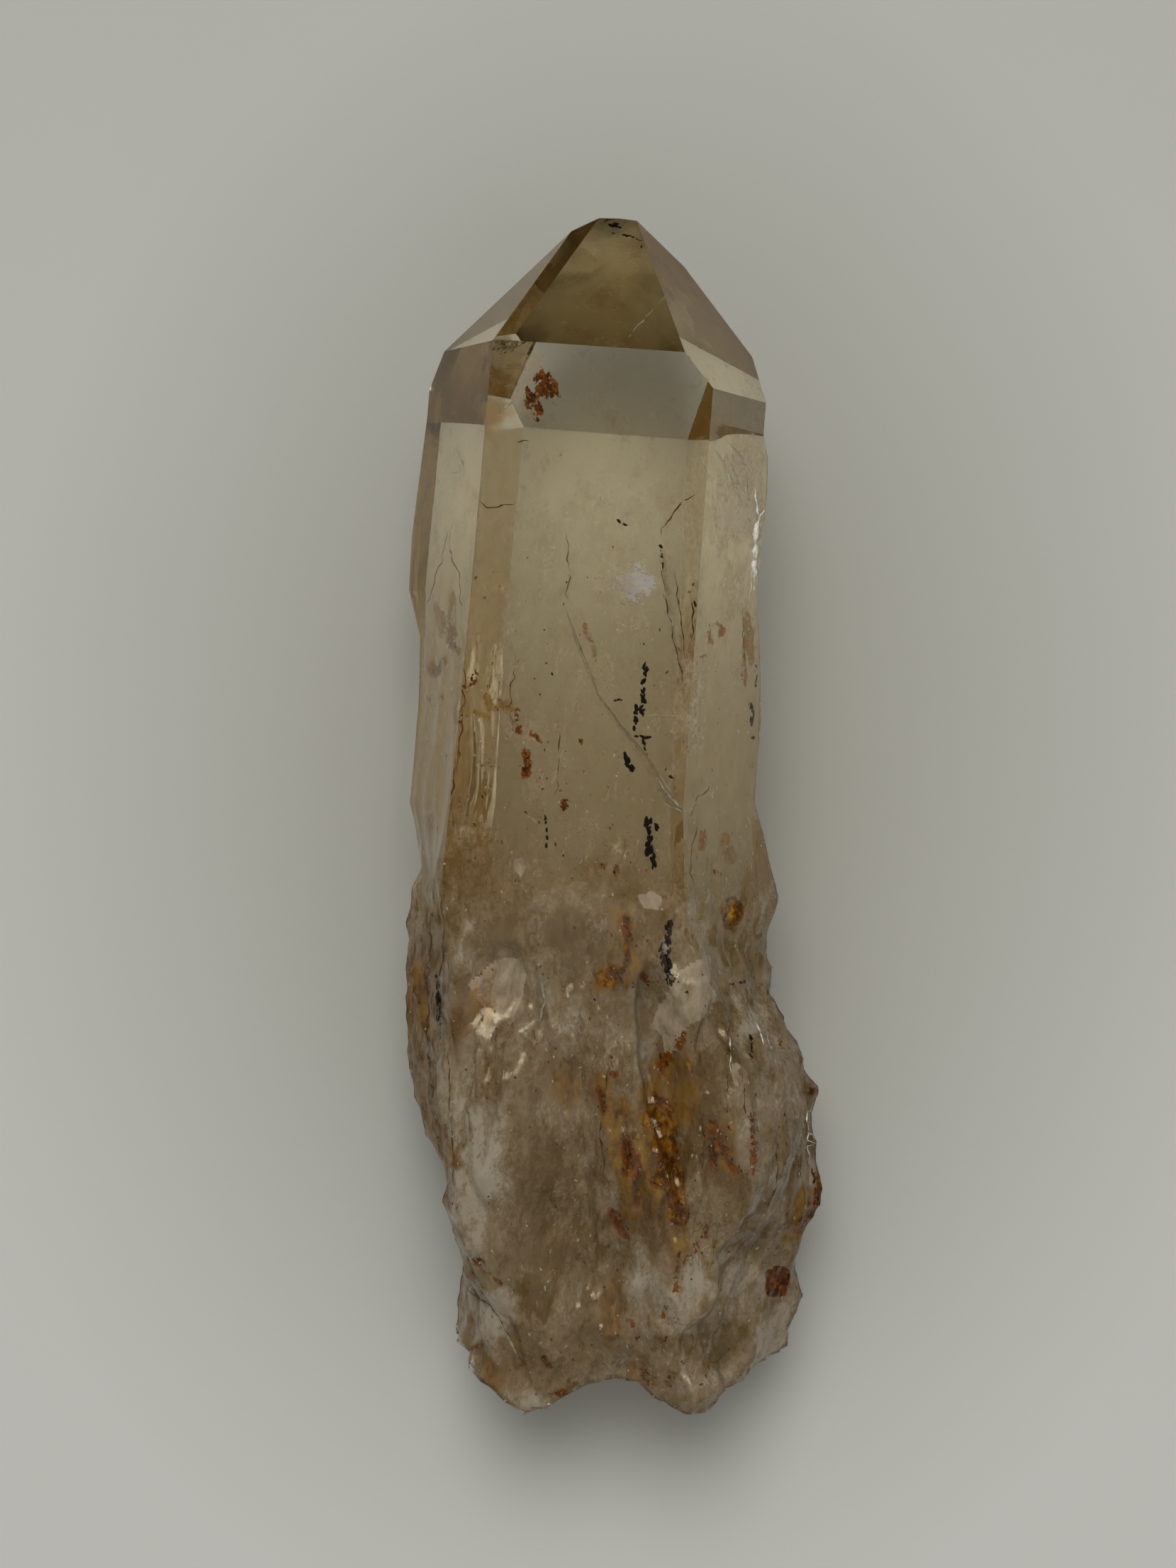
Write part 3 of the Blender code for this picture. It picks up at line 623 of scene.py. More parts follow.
def closing_stations():
    """The t values at which a side closes up near the tip, read from where its length reaches zero."""
    t = np.linspace(TIP_START, 12.0, 800)
    corners = clean_corners(t)
    lengths = np.linalg.norm(np.roll(corners, -1, axis=1) - corners, axis=-1)
    stations = []
    for side in range(6):
        open_now = lengths[:, side] > 1.0e-6
        for row in np.flatnonzero(open_now[1:] & ~open_now[:-1]) + 1:
            grown = lengths[row + 1, side] - lengths[row, side]
            stations.append(t[row] - lengths[row, side] * (t[1] - t[0]) / grown)
    return stations


def drifted_corners(t):
    """The six corners at each t, with each long edge moved off the clean prism by its drift."""
    corners = clean_corners(t)
    for index, name in enumerate(EDGE_ORDER):
        stations, shift_x, shift_z = np.reshape(EDGE_DRIFT[name], (-1, 3)).T
        corners[:, index, 0] += np.interp(t, stations, shift_x)
        corners[:, index, 1] += np.interp(t, stations, shift_z)
    return corners


def rings(corners, sides):
    """Points round each section: corner + (next corner - corner) * i / n along every side."""
    following = np.roll(corners, -1, axis=1)
    rows = []
    for side, count in enumerate(sides):
        share = np.arange(count)[None, :, None] / count
        start = corners[:, side, None, :]
        rows.append(start + (following[:, side, None, :] - start) * share)
    return np.concatenate(rows, axis=1)


def upper_forms(x, t, z):
    """Mounds and hollows of the upper side: height * min(1, 1.5 (1 - u^2 - v^2)) in each ellipse (u, v)."""
    total = np.zeros_like(x)
    for centre_x, centre_t, half_width, half_length, lean, height in UPPER_FORMS:
        total += height * ellipse(x, t, centre_x, centre_t, half_width, half_length, -lean, 1.5)
    return total * smooth_step(z, 8.0, 14.0)


def face_chips(points, t, outward):
    """The shallow unevenness of the clean faces: chips * depth, from none by the shoulder to full at the
    root, and stronger on the side faces than on the top one."""
    size, depth, seed = FACE_CHIPS
    grow = smooth_step(t, FACE_CHIPS_START, ROUGH_WHOLE)
    side = 0.25 + 0.75 * smooth_step(np.abs(outward[..., 0]), 0.45, 0.8)
    return depth * grow * side * chips(points, size, seed)


def roughened(section, t, middle, inset):
    """Root points moved along the ray from their section's middle: p + ray * (relief - inset).

    The relief is the part's chips, splinters and upper forms, and the fine chips of the looks.
    """
    x, z = section[..., 0], section[..., 1]
    outward = unit(section - middle)
    points = np.stack([x, t, z], axis=-1)
    rough = smooth_step(t, ROUGH_START, ROUGH_WHOLE)
    shift = CHIP_DEPTH * chips(points, CHIP_SIZE, 11) + SPLINTER_DEPTH * chips(points, SPLINTER_SIZE, 29)
    shift = rough * 0.5 * shift + smooth_step(t, ROUGH_START, ROUGH_START + 6.0) * upper_forms(x, t, z)
    shift = shift + face_chips(points, t, outward)
    fine = smooth_step(t, ROUGH_START + 2.0, ROUGH_WHOLE - 4.0)
    for size, depth, seed in FINE_CHIPS:
        shift = shift + fine * depth * (chips(points, size, seed) - 0.2)
    moved = section + outward * (shift - inset)[..., None]
    moved[..., 1] = np.maximum(moved[..., 1], inset)
    return moved


def body_stations():
    """The t of every row before the base: exact at shoulders, closing sides and edge turns."""
    turns = {float(turn) for path in EDGE_DRIFT.values() for turn in path[::3]}
    exact = {TIP_START, *SHOULDERS, *closing_stations(), BASE_START}
    exact |= {turn for turn in turns if PRISM_END <= turn < ROUGH_START}
    even = [*np.arange(TIP_START, ROUGH_START, CLEAR_STEP),
            *np.arange(ROUGH_START, BASE_START, ROUGH_STEP)]
    kept = [value for value in even if min(abs(value - other) for other in exact) > 0.12]
    return np.array(sorted([*kept, *exact]))


def base_reach(x):
    """How far the broken end reaches at each x."""
    line_x, line_t = path_points(BASE_LINE).T
    return np.interp(x, line_x, line_t)


def crystal_grid(stations, sides, base_rows, base_rings, inset=0.0):
    """The crystal's surface as an array (row, column, xtz), moved in by the inset.

    Rows are sections at the stations, then rows that stretch towards the base line, and then rings
    that shrink to the middle of the broken end, which is dished and chipped.
    """
    ends = np.linspace(BASE_START, LENGTH, base_rows + 1)[1:]
    corners = drifted_corners(np.concatenate([stations, ends]))
    middle = rings(corners, BODY_SIDES).mean(axis=1, keepdims=True)
    section = rings(corners, sides)
    rows = np.broadcast_to(np.concatenate([stations, ends])[:, None], section.shape[:2]).copy()
    share = (ends - BASE_START) / (LENGTH - BASE_START)
    reach = base_reach(section[len(stations):, :, 0]) - inset
    rows[len(stations):] = BASE_START + share[:, None] * (reach - BASE_START)
    section = roughened(section, rows, middle, inset)
    grid = np.stack([section[..., 0], rows, section[..., 1]], axis=-1)
    rim = grid[-1]
    heart = np.array([middle[-1, 0, 0], LENGTH, middle[-1, 0, 1]])
    scale = 1.0 - np.arange(1, base_rings + 1)[:, None] / base_rings
    end = heart + (rim - heart) * scale[..., None]
    end[..., 1] = base_reach(end[..., 0]) - inset - BASE_DISH * (1.0 - scale ** 2)
    end[..., 1] += SPLINTER_DEPTH * chips(end, CHIP_SIZE, 53)
    for size, depth, seed in FINE_CHIPS:
        end[..., 1] += depth * smooth_step(1.0 - scale, 0.0, 0.2) * chips(end, size, seed)
    end[-1] = end[-1].mean(axis=0)
    return np.concatenate([grid, end])


# Places on the crystal

def as_seen(p):
    """Working (x, t) of points as they appear from straight above, drawn at the marks' level."""
    eye_x, eye_t = CAMERA_MM[0] - AXIS_X, TIP_Y - CAMERA_MM[1]
    share = (CAMERA_MM[2] - MARKS_LEVEL) / (CAMERA_MM[2] - p[..., 2])
    return eye_x + (p[..., 0] - eye_x) * share, eye_t + (p[..., 1] - eye_t) * share


def landed(surface, flat):
    """Where the camera's sight lines through flat marks (x, t) at the marks' level meet the crystal.

    Gives the working points and the surface's outward directions there. A line that misses the crystal
    is tried again nearer to the middle.
    """
    eye = Vector(value * MM for value in CAMERA_MM)
    aims = placed(np.column_stack([flat, np.full(len(flat), MARKS_LEVEL)]))
    points, ways = [], []
    for aim in aims:
        for nearer in (1.0, 0.97, 0.93, 0.88, 0.80):
            sight = (Vector((aim[0] * nearer, aim[1], aim[2])) - eye).normalized()
            place, way, _, _ = surface.ray_cast(eye, sight)
            if place:
                break
        points.append(tuple(place or aim))
        ways.append(tuple(way or (0.0, 0.0, 1.0)))
    ways = np.array(ways)
    return unplaced(np.array(points)), ways * np.array([1.0, -1.0, 1.0])


def sunk(points, depth):
    """Working points moved straight away from the camera by the depth: p + sight * depth."""
    eye = np.array([CAMERA_MM[0] - AXIS_X, TIP_Y - CAMERA_MM[1], CAMERA_MM[2]])
    depth = np.broadcast_to(np.asarray(depth, dtype=float), points.shape[:-1])
    return points + unit(points - eye) * depth[..., None]


def along_path(path, count):
    """Points at even steps along a path."""
    path = path_points(path)
    walked = np.concatenate([[0.0], np.cumsum(np.linalg.norm(np.diff(path, axis=0), axis=-1))])
    steps = np.linspace(0.0, walked[-1], count)
    return np.column_stack([np.interp(steps, walked, column) for column in path.T])


# Meshes

def grid_faces(rows, columns):
    """Quads of a grid of points, row by row, joined round each row."""
    top = np.arange(rows - 1)[:, None] * columns
    left = np.arange(columns)[None, :]
    right = (left + 1) % columns
    return np.stack([top + left, top + right, top + columns + right, top + columns + left], -1).reshape(-1, 4)


def joined(parts):
    """Several (points, faces) as one: each part's faces count on from the points before it."""
    starts = np.cumsum([0] + [len(points) for points, _ in parts[:-1]])
    points = np.concatenate([points for points, _ in parts])
    return points, np.concatenate([faces + start for (_, faces), start in zip(parts, starts)])


def new_mesh(name, points, faces=None):
    """A mesh of working points, placed in the part's frame. A grid of points gets a grid's faces."""
    if faces is None:
        faces = grid_faces(*points.shape[:2])
    mesh = bpy.data.meshes.new(name)
    mesh.from_pydata(placed(points.reshape(-1, 3)).tolist(), [], faces.tolist())
    mesh.update()
    mesh.shade_smooth()
    return mesh


def closed_mesh(name, points, faces=None):
    """A new mesh, mended."""
    mesh = new_mesh(name, points, faces)
    mend(mesh)
    return mesh


def mend(mesh):
    """Merge a mesh's repeated points, cap its open ends and turn its faces outwards."""
    body = bmesh.new()
    body.from_mesh(mesh)
    bmesh.ops.remove_doubles(body, verts=body.verts, dist=MERGE)
    bmesh.ops.dissolve_degenerate(body, dist=MERGE, edges=body.edges)
    bmesh.ops.holes_fill(body, edges=[edge for edge in body.edges if edge.is_boundary], sides=0)
    bmesh.ops.recalc_face_normals(body, faces=body.faces)
    body.to_mesh(mesh)
    body.free()
    mesh.shade_smooth()


def linked(name, data):
    """A new object in the scene."""
    thing = bpy.data.objects.new(name, data)
    bpy.context.scene.collection.objects.link(thing)
    return thing


def new_piece(name, mesh, material):
    """An object for a finished mesh, riding on the crystal's only body."""
    mesh.materials.append(material)
    piece = linked(name, mesh)
    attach(piece, "root")
    return piece


def mesh_points(mesh):
    """A mesh's vertices as working points."""
    flat = np.empty(len(mesh.vertices) * 3)
    mesh.vertices.foreach_get("co", flat)
    return unplaced(flat.reshape(-1, 3))


def paint(mesh, name, channels):
    """Store up to three masks from 0 to 1 on the mesh's vertices as one attribute."""
    values = np.zeros((len(mesh.vertices), 3), dtype=np.float32)
    for index, channel in enumerate(channels):
        values[:, index] = np.clip(channel, 0.0, 1.0)
    layer = mesh.attributes.new(name, "FLOAT_VECTOR", "POINT")
    layer.data.foreach_set("vector", values.ravel())


def body_mesh():
    """The whole crystal's skin, closed, with its broken tip cut by planes and its edges crisp."""
    grid = crystal_grid(body_stations(), BODY_SIDES, BASE_ROWS, BASE_RINGS)
    mesh = new_mesh("crystal_body", grid)
    body = bmesh.new()
    body.from_mesh(mesh)
    body.verts.ensure_lookup_table()
    body.faces.new([body.verts[i] for i in range(grid.shape[1])][::-1])
    bmesh.ops.remove_doubles(body, verts=body.verts, dist=MERGE)
    bmesh.ops.dissolve_degenerate(body, dist=MERGE, edges=body.edges)
    for (x, t, z), (nx, nt, nz) in TIP_CHIPS:
        point = placed(np.array([x, t, z]))
        everything = body.verts[:] + body.edges[:] + body.faces[:]
        cut = bmesh.ops.bisect_plane(body, geom=everything, plane_co=point.tolist(),
                                     plane_no=(nx, -nt, nz), clear_outer=True)
        rim = [piece for piece in cut["geom_cut"] if isinstance(piece, bmesh.types.BMEdge)]
        bmesh.ops.contextual_create(body, geom=rim)
    bmesh.ops.recalc_face_normals(body, faces=body.faces)
    body.to_mesh(mesh)
    body.free()
    mesh.shade_smooth()
    mesh.set_sharp_from_angle(angle=math.radians(SHARP_DEG))
    return mesh


# Shader helpers

class Wire:
    """One output of a shader node. Adding, subtracting or multiplying it makes a Math node."""

    def __init__(self, node, output=0):
        self.socket = node.outputs[output]
        self.tree = node.id_data

    def maths(self, operation, other=0.0):
        return Wire(add_node(self.tree, "ShaderNodeMath", {0: self, 1: other}, operation=operation))

    def __add__(self, other):
        return self.maths("ADD", other)

    def __sub__(self, other):
        return self.maths("SUBTRACT", other)

    def __mul__(self, other):
        return self.maths("MULTIPLY", other)

    def __abs__(self):
        return self.maths("ABSOLUTE")

    def fade(self, low, high):
        """0 below low, 1 above high, and a straight rise between them."""
        inputs = {"Value": self, "From Min": low, "From Max": high}
        return Wire(add_node(self.tree, "ShaderNodeMapRange", inputs, clamp=True), "Result")

    def ramp(self, stops):
        """A colour ramp on the value, from (position, red, green, blue) stops."""
        node = add_node(self.tree, "ShaderNodeValToRGB", {"Fac": self})
        elements = node.color_ramp.elements
        for element, (position, *colour) in ((elements[0], stops[0]), (elements[1], stops[-1])):
            element.position = position
            element.color = solid(colour)
        for position, *colour in stops[1:-1]:
            elements.new(position).color = solid(colour)
        return Wire(node, "Color")


def solid(colour):
    """A plain colour with its alpha, and a wire as it is."""
    return colour if isinstance(colour, Wire) else (*colour, 1.0)


def feed(node, inputs):
    """Link a node's named or numbered inputs to wires, or set them to plain values."""
    for name, value in inputs.items():
        if isinstance(value, Wire):
            node.id_data.links.new(value.socket, node.inputs[name])
        else:
            node.inputs[name].default_value = value


def add_node(tree, kind, inputs=None, **settings):
    """A node with its settings and its inputs."""
    node = tree.nodes.new(kind)
    for name, value in settings.items():
        setattr(node, name, value)
    feed(node, inputs or {})
    return node


def new_material(name, roughness, gloss=MARK_GLOSS):
    """A new material, its tree and its Principled shader."""
    material = bpy.data.materials.new(name)
    material.use_nodes = True
    shader = material.node_tree.nodes["Principled BSDF"]
    feed(shader, {"Roughness": roughness, "Specular IOR Level": gloss})
    return material, material.node_tree, shader


def blend_colour(factor, first, second):
    """first * (1 - factor) + second * factor, where each colour is a wire or a plain colour."""
    inputs = {0: factor, 6: solid(first), 7: solid(second)}
    return Wire(add_node(factor.tree, "ShaderNodeMix", inputs, data_type="RGBA"), 2)


def make_grain_group():
    """The noise that all materials share: noise on Object coordinates times the stretch."""
    group = bpy.data.node_groups.new("stretched grain", "ShaderNodeTree")
    group.interface.new_socket("Stretch", in_out="INPUT", socket_type="NodeSocketVector")
    for name in ("Scale", "Detail", "Roughness"):
        group.interface.new_socket(name, in_out="INPUT", socket_type="NodeSocketFloat")
    group.interface.new_socket("Grain", in_out="OUTPUT", socket_type="NodeSocketFloat")
    values = add_node(group, "NodeGroupInput")
    place = Wire(add_node(group, "ShaderNodeTexCoord"), "Object")
    mapping = add_node(group, "ShaderNodeMapping", {"Vector": place, "Scale": Wire(values, "Stretch")})
    inputs = {name: Wire(values, name) for name in ("Scale", "Detail", "Roughness")}
    grain = add_node(group, "ShaderNodeTexNoise", {"Vector": Wire(mapping), **inputs})
    add_node(group, "NodeGroupOutput", {"Grain": Wire(grain, "Fac")})


def noise(tree, kind):
    """The shared grain in a material, with that kind's own values."""
    scale, stretch, detail, roughness = NOISE[kind]
    inputs = {"Stretch": (1.0, 1.0 / stretch, 1.0), "Scale": scale, "Detail": detail, "Roughness": roughness}
    group = bpy.data.node_groups["stretched grain"]
    return Wire(add_node(tree, "ShaderNodeGroup", inputs, node_tree=group))


def facets(tree, scale, stretch):
    """One value from 0 to 1 for each cell of space, its cells warped, and stretched along the crystal."""
    place = Wire(add_node(tree, "ShaderNodeTexCoord"), "Object")
    warp = add_node(tree, "ShaderNodeTexNoise", {"Vector": place, "Scale": scale * 1.3, "Detail": 1.0})
    inputs = {0: Wire(warp, "Color"), 1: (0.7 / scale,) * 3, 2: place}
    shift = add_node(tree, "ShaderNodeVectorMath", inputs, operation="MULTIPLY_ADD")
    inputs = {"Vector": Wire(shift), "Scale": (1.0, 1.0 / stretch, 1.0)}
    mapping = add_node(tree, "ShaderNodeMapping", inputs)
    cells = add_node(tree, "ShaderNodeTexVoronoi", {"Vector": Wire(mapping), "Scale": scale})
    return Wire(add_node(tree, "ShaderNodeSeparateColor", {"Color": Wire(cells, "Color")}))


def masks(tree, name):
    """The three painted masks of an attribute."""
    layer = Wire(add_node(tree, "ShaderNodeAttribute", attribute_name=name), "Vector")
    split = add_node(tree, "ShaderNodeSeparateXYZ", {"Vector": layer})
    return [Wire(split, index) for index in range(3)]


# Materials

def quartz_material():
    """Clear smoky quartz: glossy faces, a frosted root, and a brown tint that deepens with the path."""
    material, tree, shader = new_material("smoky quartz", FROSTED_ROUGHNESS, PLAIN_GLOSS)
    frost = masks(tree, "finish")[0]
    grain = noise(tree, "frost")
    inputs = {"Distance": BUMP_DISTANCE, "Strength": frost * FROSTED_BUMP + CLEAR_BUMP, "Height": grain}
    bump = add_node(tree, "ShaderNodeBump", inputs)
    feed(shader, {
        "Base Color": solid(WHITE),
        "Metallic": 0.0,
        "Transmission Weight": 1.0,
        "IOR": QUARTZ_IOR,
        "Specular Tint": solid(SURFACE_TINT),
        "Roughness": frost * (grain * FROSTED_ROUGHNESS) + CLEAR_ROUGHNESS,
        "Normal": Wire(bump),
    })
    absorb = add_node(tree, "ShaderNodeVolumeAbsorption",
                      {"Color": solid(ABSORPTION_COLOUR), "Density": ABSORPTION_DENSITY})
    feed(tree.nodes["Material Output"], {"Volume": Wire(absorb)})
    return material


def skin_material():
    """The cloudy, stained layer just under the skin: milk from brown to white, a brown wash, ochre and
    golden stain, see-through where there is none of them."""
    material, tree, shader = new_material("cloud and iron stain", 0.8)
    milk, tone, wash = masks(tree, "cloud")
    gold, ochre, rim = masks(tree, "stain")
    rust, pale, iron = masks(tree, "rust")
    patches = noise(tree, "patches")
    streaks = noise(tree, "streaks")
    grain = noise(tree, "specks")
    threads = noise(tree, "lines")
    mottle = patches * 0.9 + streaks * 1.1 + grain * 0.8 - 1.40
    breakup = streaks * 1.3 + grain * 1.3 - 1.30
    large = (facets(tree, *FACETS) - 0.5) * 0.26
    pale_line = abs(threads - 0.53).fade(0.016, 0.004)
    dark_line = abs(threads - 0.42).fade(0.020, 0.004)
    lines = (pale_line * 0.36 - dark_line * 0.40) * patches.fade(0.40, 0.60)
    shade = mottle * 1.15 + (large + lines)
    cloud = (milk + mottle * 0.8).fade(0.12, 0.85) * CLOUD_COVER
    thin = wash * (streaks * 1.1 + 0.45)
    colour = blend_colour(cloud, BROWN_WASH, (tone + shade).ramp(MILK_STOPS))
    alpha = cloud.maths("MAXIMUM", thin * WASH_COVER)
    rust_tone = streaks + (grain - 0.5)
    stains = {
        "pale": (pale, streaks),
        "ochre": (ochre, streaks),
        "gold": (gold, rust_tone - rim * 0.16),
        "rust": (rust, rust_tone),
        "iron": (iron, rust_tone - 0.03),
    }
    for name, (mask, own_tone) in stains.items():
        stops, broken, low, high, cover = STAIN_LAYERS[name]
        edge = (mask + breakup * broken).fade(low, high)
        colour = blend_colour(edge, colour, own_tone.ramp(stops))
        alpha = alpha.maths("MAXIMUM", edge * cover)
    feed(shader, {"Base Color": colour, "Alpha": alpha})
    return material


def veil_material():
    """Deeper milk in the root: soft clouds and threads, see-through between them."""
    material, tree, shader = new_material("deep milky veil", 0.9)
    milk, tone, _ = masks(tree, "cloud")
    mottle = (noise(tree, "veil") - 0.5) * 0.8
    alpha = (milk + mottle).fade(0.30, 0.80) * 0.90
    feed(shader, {"Base Color": (tone + mottle).ramp(MILK_STOPS), "Alpha": alpha})
    return material


def rust_material():
    """Grains of iron oxide, each of its own tone from nearly black to orange and ochre."""
    material, tree, shader = new_material("rust grains", 0.65)
    tone = masks(tree, "tone")[0] + (noise(tree, "rust") - 0.5) * 0.9
    feed(shader, {"Base Color": tone.ramp(RUST_STOPS)})
    return material


def grain_material(name, colour, roughness):
    """Small grains or threads of one mineral, a little darker and paler from place to place."""
    material, tree, shader = new_material(name, roughness)
    dark = [0.55 * share for share in colour]
    feed(shader, {"Base Color": noise(tree, "grains").ramp([(0.36, *dark), (0.62, *colour)])})
    return material


def limonite_material():
    """A yellow-brown lump of iron oxide with darker pits."""
    material, tree, shader = new_material("limonite lump", 0.6)
    feed(shader, {"Base Color": noise(tree, "limonite").ramp(LIMONITE_STOPS)})
    return material


def crack_material():
    """The film in a healed crack: streaks of tan, brightest along its outer edge."""
    material, tree, shader = new_material("healed crack film", 0.35)
    rim, end, _ = masks(tree, "film")
    streaks = noise(tree, "crack")
    film = (rim * 0.55 + end * 0.35 + streaks).fade(0.35, 1.20)
    feed(shader, {"Base Color": (streaks + end * 0.35).ramp(CRACK_STOPS), "Alpha": film * 0.80 + 0.04})
    return material


def rainbow_material():
    """The crack that shows pale interference colours, in feathered bands across it."""
    material, tree, shader = new_material("rainbow crack", 0.25)
    film = (masks(tree, "film")[0] * 0.34 + noise(tree, "rainbow petals")).fade(0.61, 0.70)
    colour = noise(tree, "rainbow bands").ramp(RAINBOW_STOPS)
    feed(shader, {"Base Color": colour, "Alpha": film * 0.92})
    return material


def paper_material():
    """Pale matt paper with a faint tooth. Its colour holds painted shade beside the crystal, painted light
    under the crystal's clear part, and painted light that makes it a little paler towards the root.
    """
    material, tree, shader = new_material("pale paper", 0.9, 0.2)
    place = Wire(add_node(tree, "ShaderNodeTexCoord"), "Object")
    split = add_node(tree, "ShaderNodeSeparateXYZ", {"Vector": place})
    along = Wire(split, "Y")
    inputs = {0: place, 1: (1.0, 0.75, 1.0)}
    nearer = Wire(add_node(tree, "ShaderNodeVectorMath", inputs, operation="MULTIPLY"))
    away = Wire(add_node(tree, "ShaderNodeVectorMath", {0: nearer}, operation="LENGTH"), "Value")
    # Painted shade and light: darker close to the crystal, and lighter along the paper towards the crystal's
    # root
    shade = noise(tree, "paper clouds") * 0.05 + away.fade(0.012, 0.052) * 0.82 - along * 2.6
    # Painted light: a paler strip of paper under the crystal's clear part
    under = abs(Wire(split, "X") - AXIS_X * MM).fade(PAINTED_LIGHT_STRIP[1], PAINTED_LIGHT_STRIP[0])
    under = under * along.fade(0.034, 0.028) * along.fade(-0.012, 0.0)
    colour = shade.ramp([(0.0, *PAPER_PAINTED_SHADE), (1.0, *PAPER)])
    inputs = {"Distance": 0.00003, "Strength": 0.25, "Height": noise(tree, "paper tooth")}
    bump = add_node(tree, "ShaderNodeBump", inputs)
    feed(shader, {"Base Color": blend_colour(under, colour, PAPER_PAINTED_LIGHT), "Normal": Wire(bump)})
    return material


# Where the crystal is frosted, cloudy and stained

def frost_mask(p):
    """1 on the root's frosted skin, 0 on the clean faces, with a ragged border."""
    ragged = 2.5 * soft_noise(p, (3.0, 5.0, 3.0), 7)
    return smooth_step(p[..., 1] + ragged, 46.0, 56.0)


def facing_up(p):
    """1 on the upper side, 0 below the widest points."""
    return smooth_step(p[..., 2], 5.0, 8.0)


def ragged_places(p, reach):
    """Working (x, t) as seen from above, pushed about by soft noise up to the reach, for ragged borders."""
    x, t = as_seen(p)
    fine = 0.35 * soft_noise(p, (0.5, 0.9, 0.5), 35)
    across = soft_noise(p, (1.5, 2.4, 1.5), 33) + fine
    along = soft_noise(p, (1.5, 2.4, 1.5), 34) + fine
    return x + reach * across, t + 1.6 * reach * along


def steep_faces(x, t):
    """1 on the clear part's two steep side faces, where they are clouded, and 0 elsewhere."""
    beside = np.maximum(smooth_step(-x, 7.0, 8.6), smooth_step(x, 8.6, 9.8))
    return beside * smooth_step(t, 24.0, 32.0) * (1.0 - smooth_step(t, 44.0, 54.0))


def cloud_changes(x, t):
    """The changes of tone and of milk that the cloudy patches make, each patch an ellipse, added up."""
    tone = np.zeros(x.shape)
    milk = np.zeros(x.shape)
    for *place, lighter, milkier in CLOUDS:
        here = CLOUD_CONTRAST * ellipse(x, t, *place)
        tone = tone + lighter * here
        milk = milk + milkier * here
    return tone, milk


def cloud_masks(p):
    """Milk, its tone with painted light on the lower side and by the base, and the brown wash at each point.
    """
    x, t = ragged_places(p, 1.1)
    up = facing_up(p)
    ragged = 3.0 * soft_noise(p, (4.0, 6.0, 4.0), 19)
    milk = 0.20 * smooth_step(t, 17.0, 24.0) + 0.12 * smooth_step(t + ragged, 24.0, 40.0)
    milk = milk + 0.68 * smooth_step(t + ragged, 45.0, 52.0)
    tone = 0.80 - 0.44 * smooth_step(t, 36.0, 50.0) + 0.10 * soft_noise(p, (6.0, 9.0, 6.0), 23)
    # Painted light: the lower side and the end by the base are painted paler, standing in for light inside
    # the milky root
    tone = tone + 0.35 * (1.0 - up) + 0.06 * smooth_step(t, 68.0, 76.0)
    milk = milk * (0.55 + 0.45 * up)
    lighter, milkier = cloud_changes(x, t)
    milk = milk + up * milkier
    tone = tone + up * lighter
    left = smooth_step(-x, 7.0, 8.6) * smooth_step(t, 23.0, 36.0)
    left = left * (0.85 + 0.40 * soft_noise(p, (2.4, 5.0, 2.4), 67))
    steep_left = steep_faces(x, t) * (x < 0.0)
    tone = tone - 0.40 * steep_left
    milk = milk - 0.14 * steep_left
    right = smooth_step(x, 8.6, 9.8) * smooth_step(t, 28.0, 38.0)
    wash = 0.04 * smooth_step(t, 15.0, 20.0) + 0.17 * smooth_step(t, 22.0, 46.0)
    wash = wash + 0.52 * left + 0.14 * right
    wash = np.maximum(wash, 0.42 * ellipse(x, t, -6.8, 16.9, 1.4, 1.9, 0.0))
    return milk, tone, wash


def stain_masks(p):
    """Golden stain, soft ochre and the gold's darker rims at each point, with random ochre on the root."""
    x, t = ragged_places(p, 0.5)
    up = facing_up(p)
    root = smooth_step(t, 30.0, 60.0)
    ochre = np.maximum(up * strokes(x, t, OCHRE, 0.7), 0.25 * up * strokes(x, t, RUST, 0.4))
    ochre = np.maximum(ochre, 0.8 * root * smooth_step(soft_noise(p, (2.2, 5.0, 2.2), 53), 0.35, 0.75))
    x, t = ragged_places(p, 0.16)
    gold = np.zeros(x.shape)
    rim = np.zeros(x.shape)
    for outline in GOLD_STAINS:
        inside = plate(x, t, outline, 0.35)
        gold = np.maximum(gold, up * inside)
        rim = np.maximum(rim, up * (1.0 - np.abs(2.0 * inside - 1.0)))
    gold = np.maximum(gold, 0.8 * up * steep_faces(x, t) * strokes(x, t, RUST, 0.35))
    return gold, ochre, rim


def flake_masks(p):
    """Rust strokes, pale flakes and the square flake of iron oxide at each point."""
    up = facing_up(p)
    x, t = ragged_places(p, 0.30)
    rust = up * (1.0 - steep_faces(x, t)) * strokes(x, t, RUST, 0.35)
    x, t = ragged_places(p, 0.08)
    pale = np.zeros(x.shape)
    for outline in PALE_PLATES:
        pale = np.maximum(pale, up * plate(x, t, outline, 0.2))
    return rust, pale, up * plate(x, t, IRON_FLAKE, 0.2)


# Pieces

def make_crystal():
    """The clear quartz body in place of the plain solid."""
    mesh = body_mesh()
    paint(mesh, "finish", [frost_mask(mesh_points(mesh))])
    piece = new_piece("crystal_body", mesh, quartz_material())
    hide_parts("crystal")
    return mesh


def make_stained_skin():
    """The crystal's own surface moved in by a fraction of a millimetre, to carry the cloud and stain."""
    stations = np.arange(SKIN_START, BASE_START, SKIN_STEP)
    grid = crystal_grid(stations, SKIN_SIDES, SKIN_BASE_ROWS, SKIN_RINGS, inset=SKIN_INSET)
    mesh = closed_mesh("stained_skin", grid)
    p = mesh_points(mesh)
    paint(mesh, "cloud", cloud_masks(p))
    paint(mesh, "stain", stain_masks(p))
    paint(mesh, "rust", flake_masks(p))
    new_piece("stained_skin", mesh, skin_material())


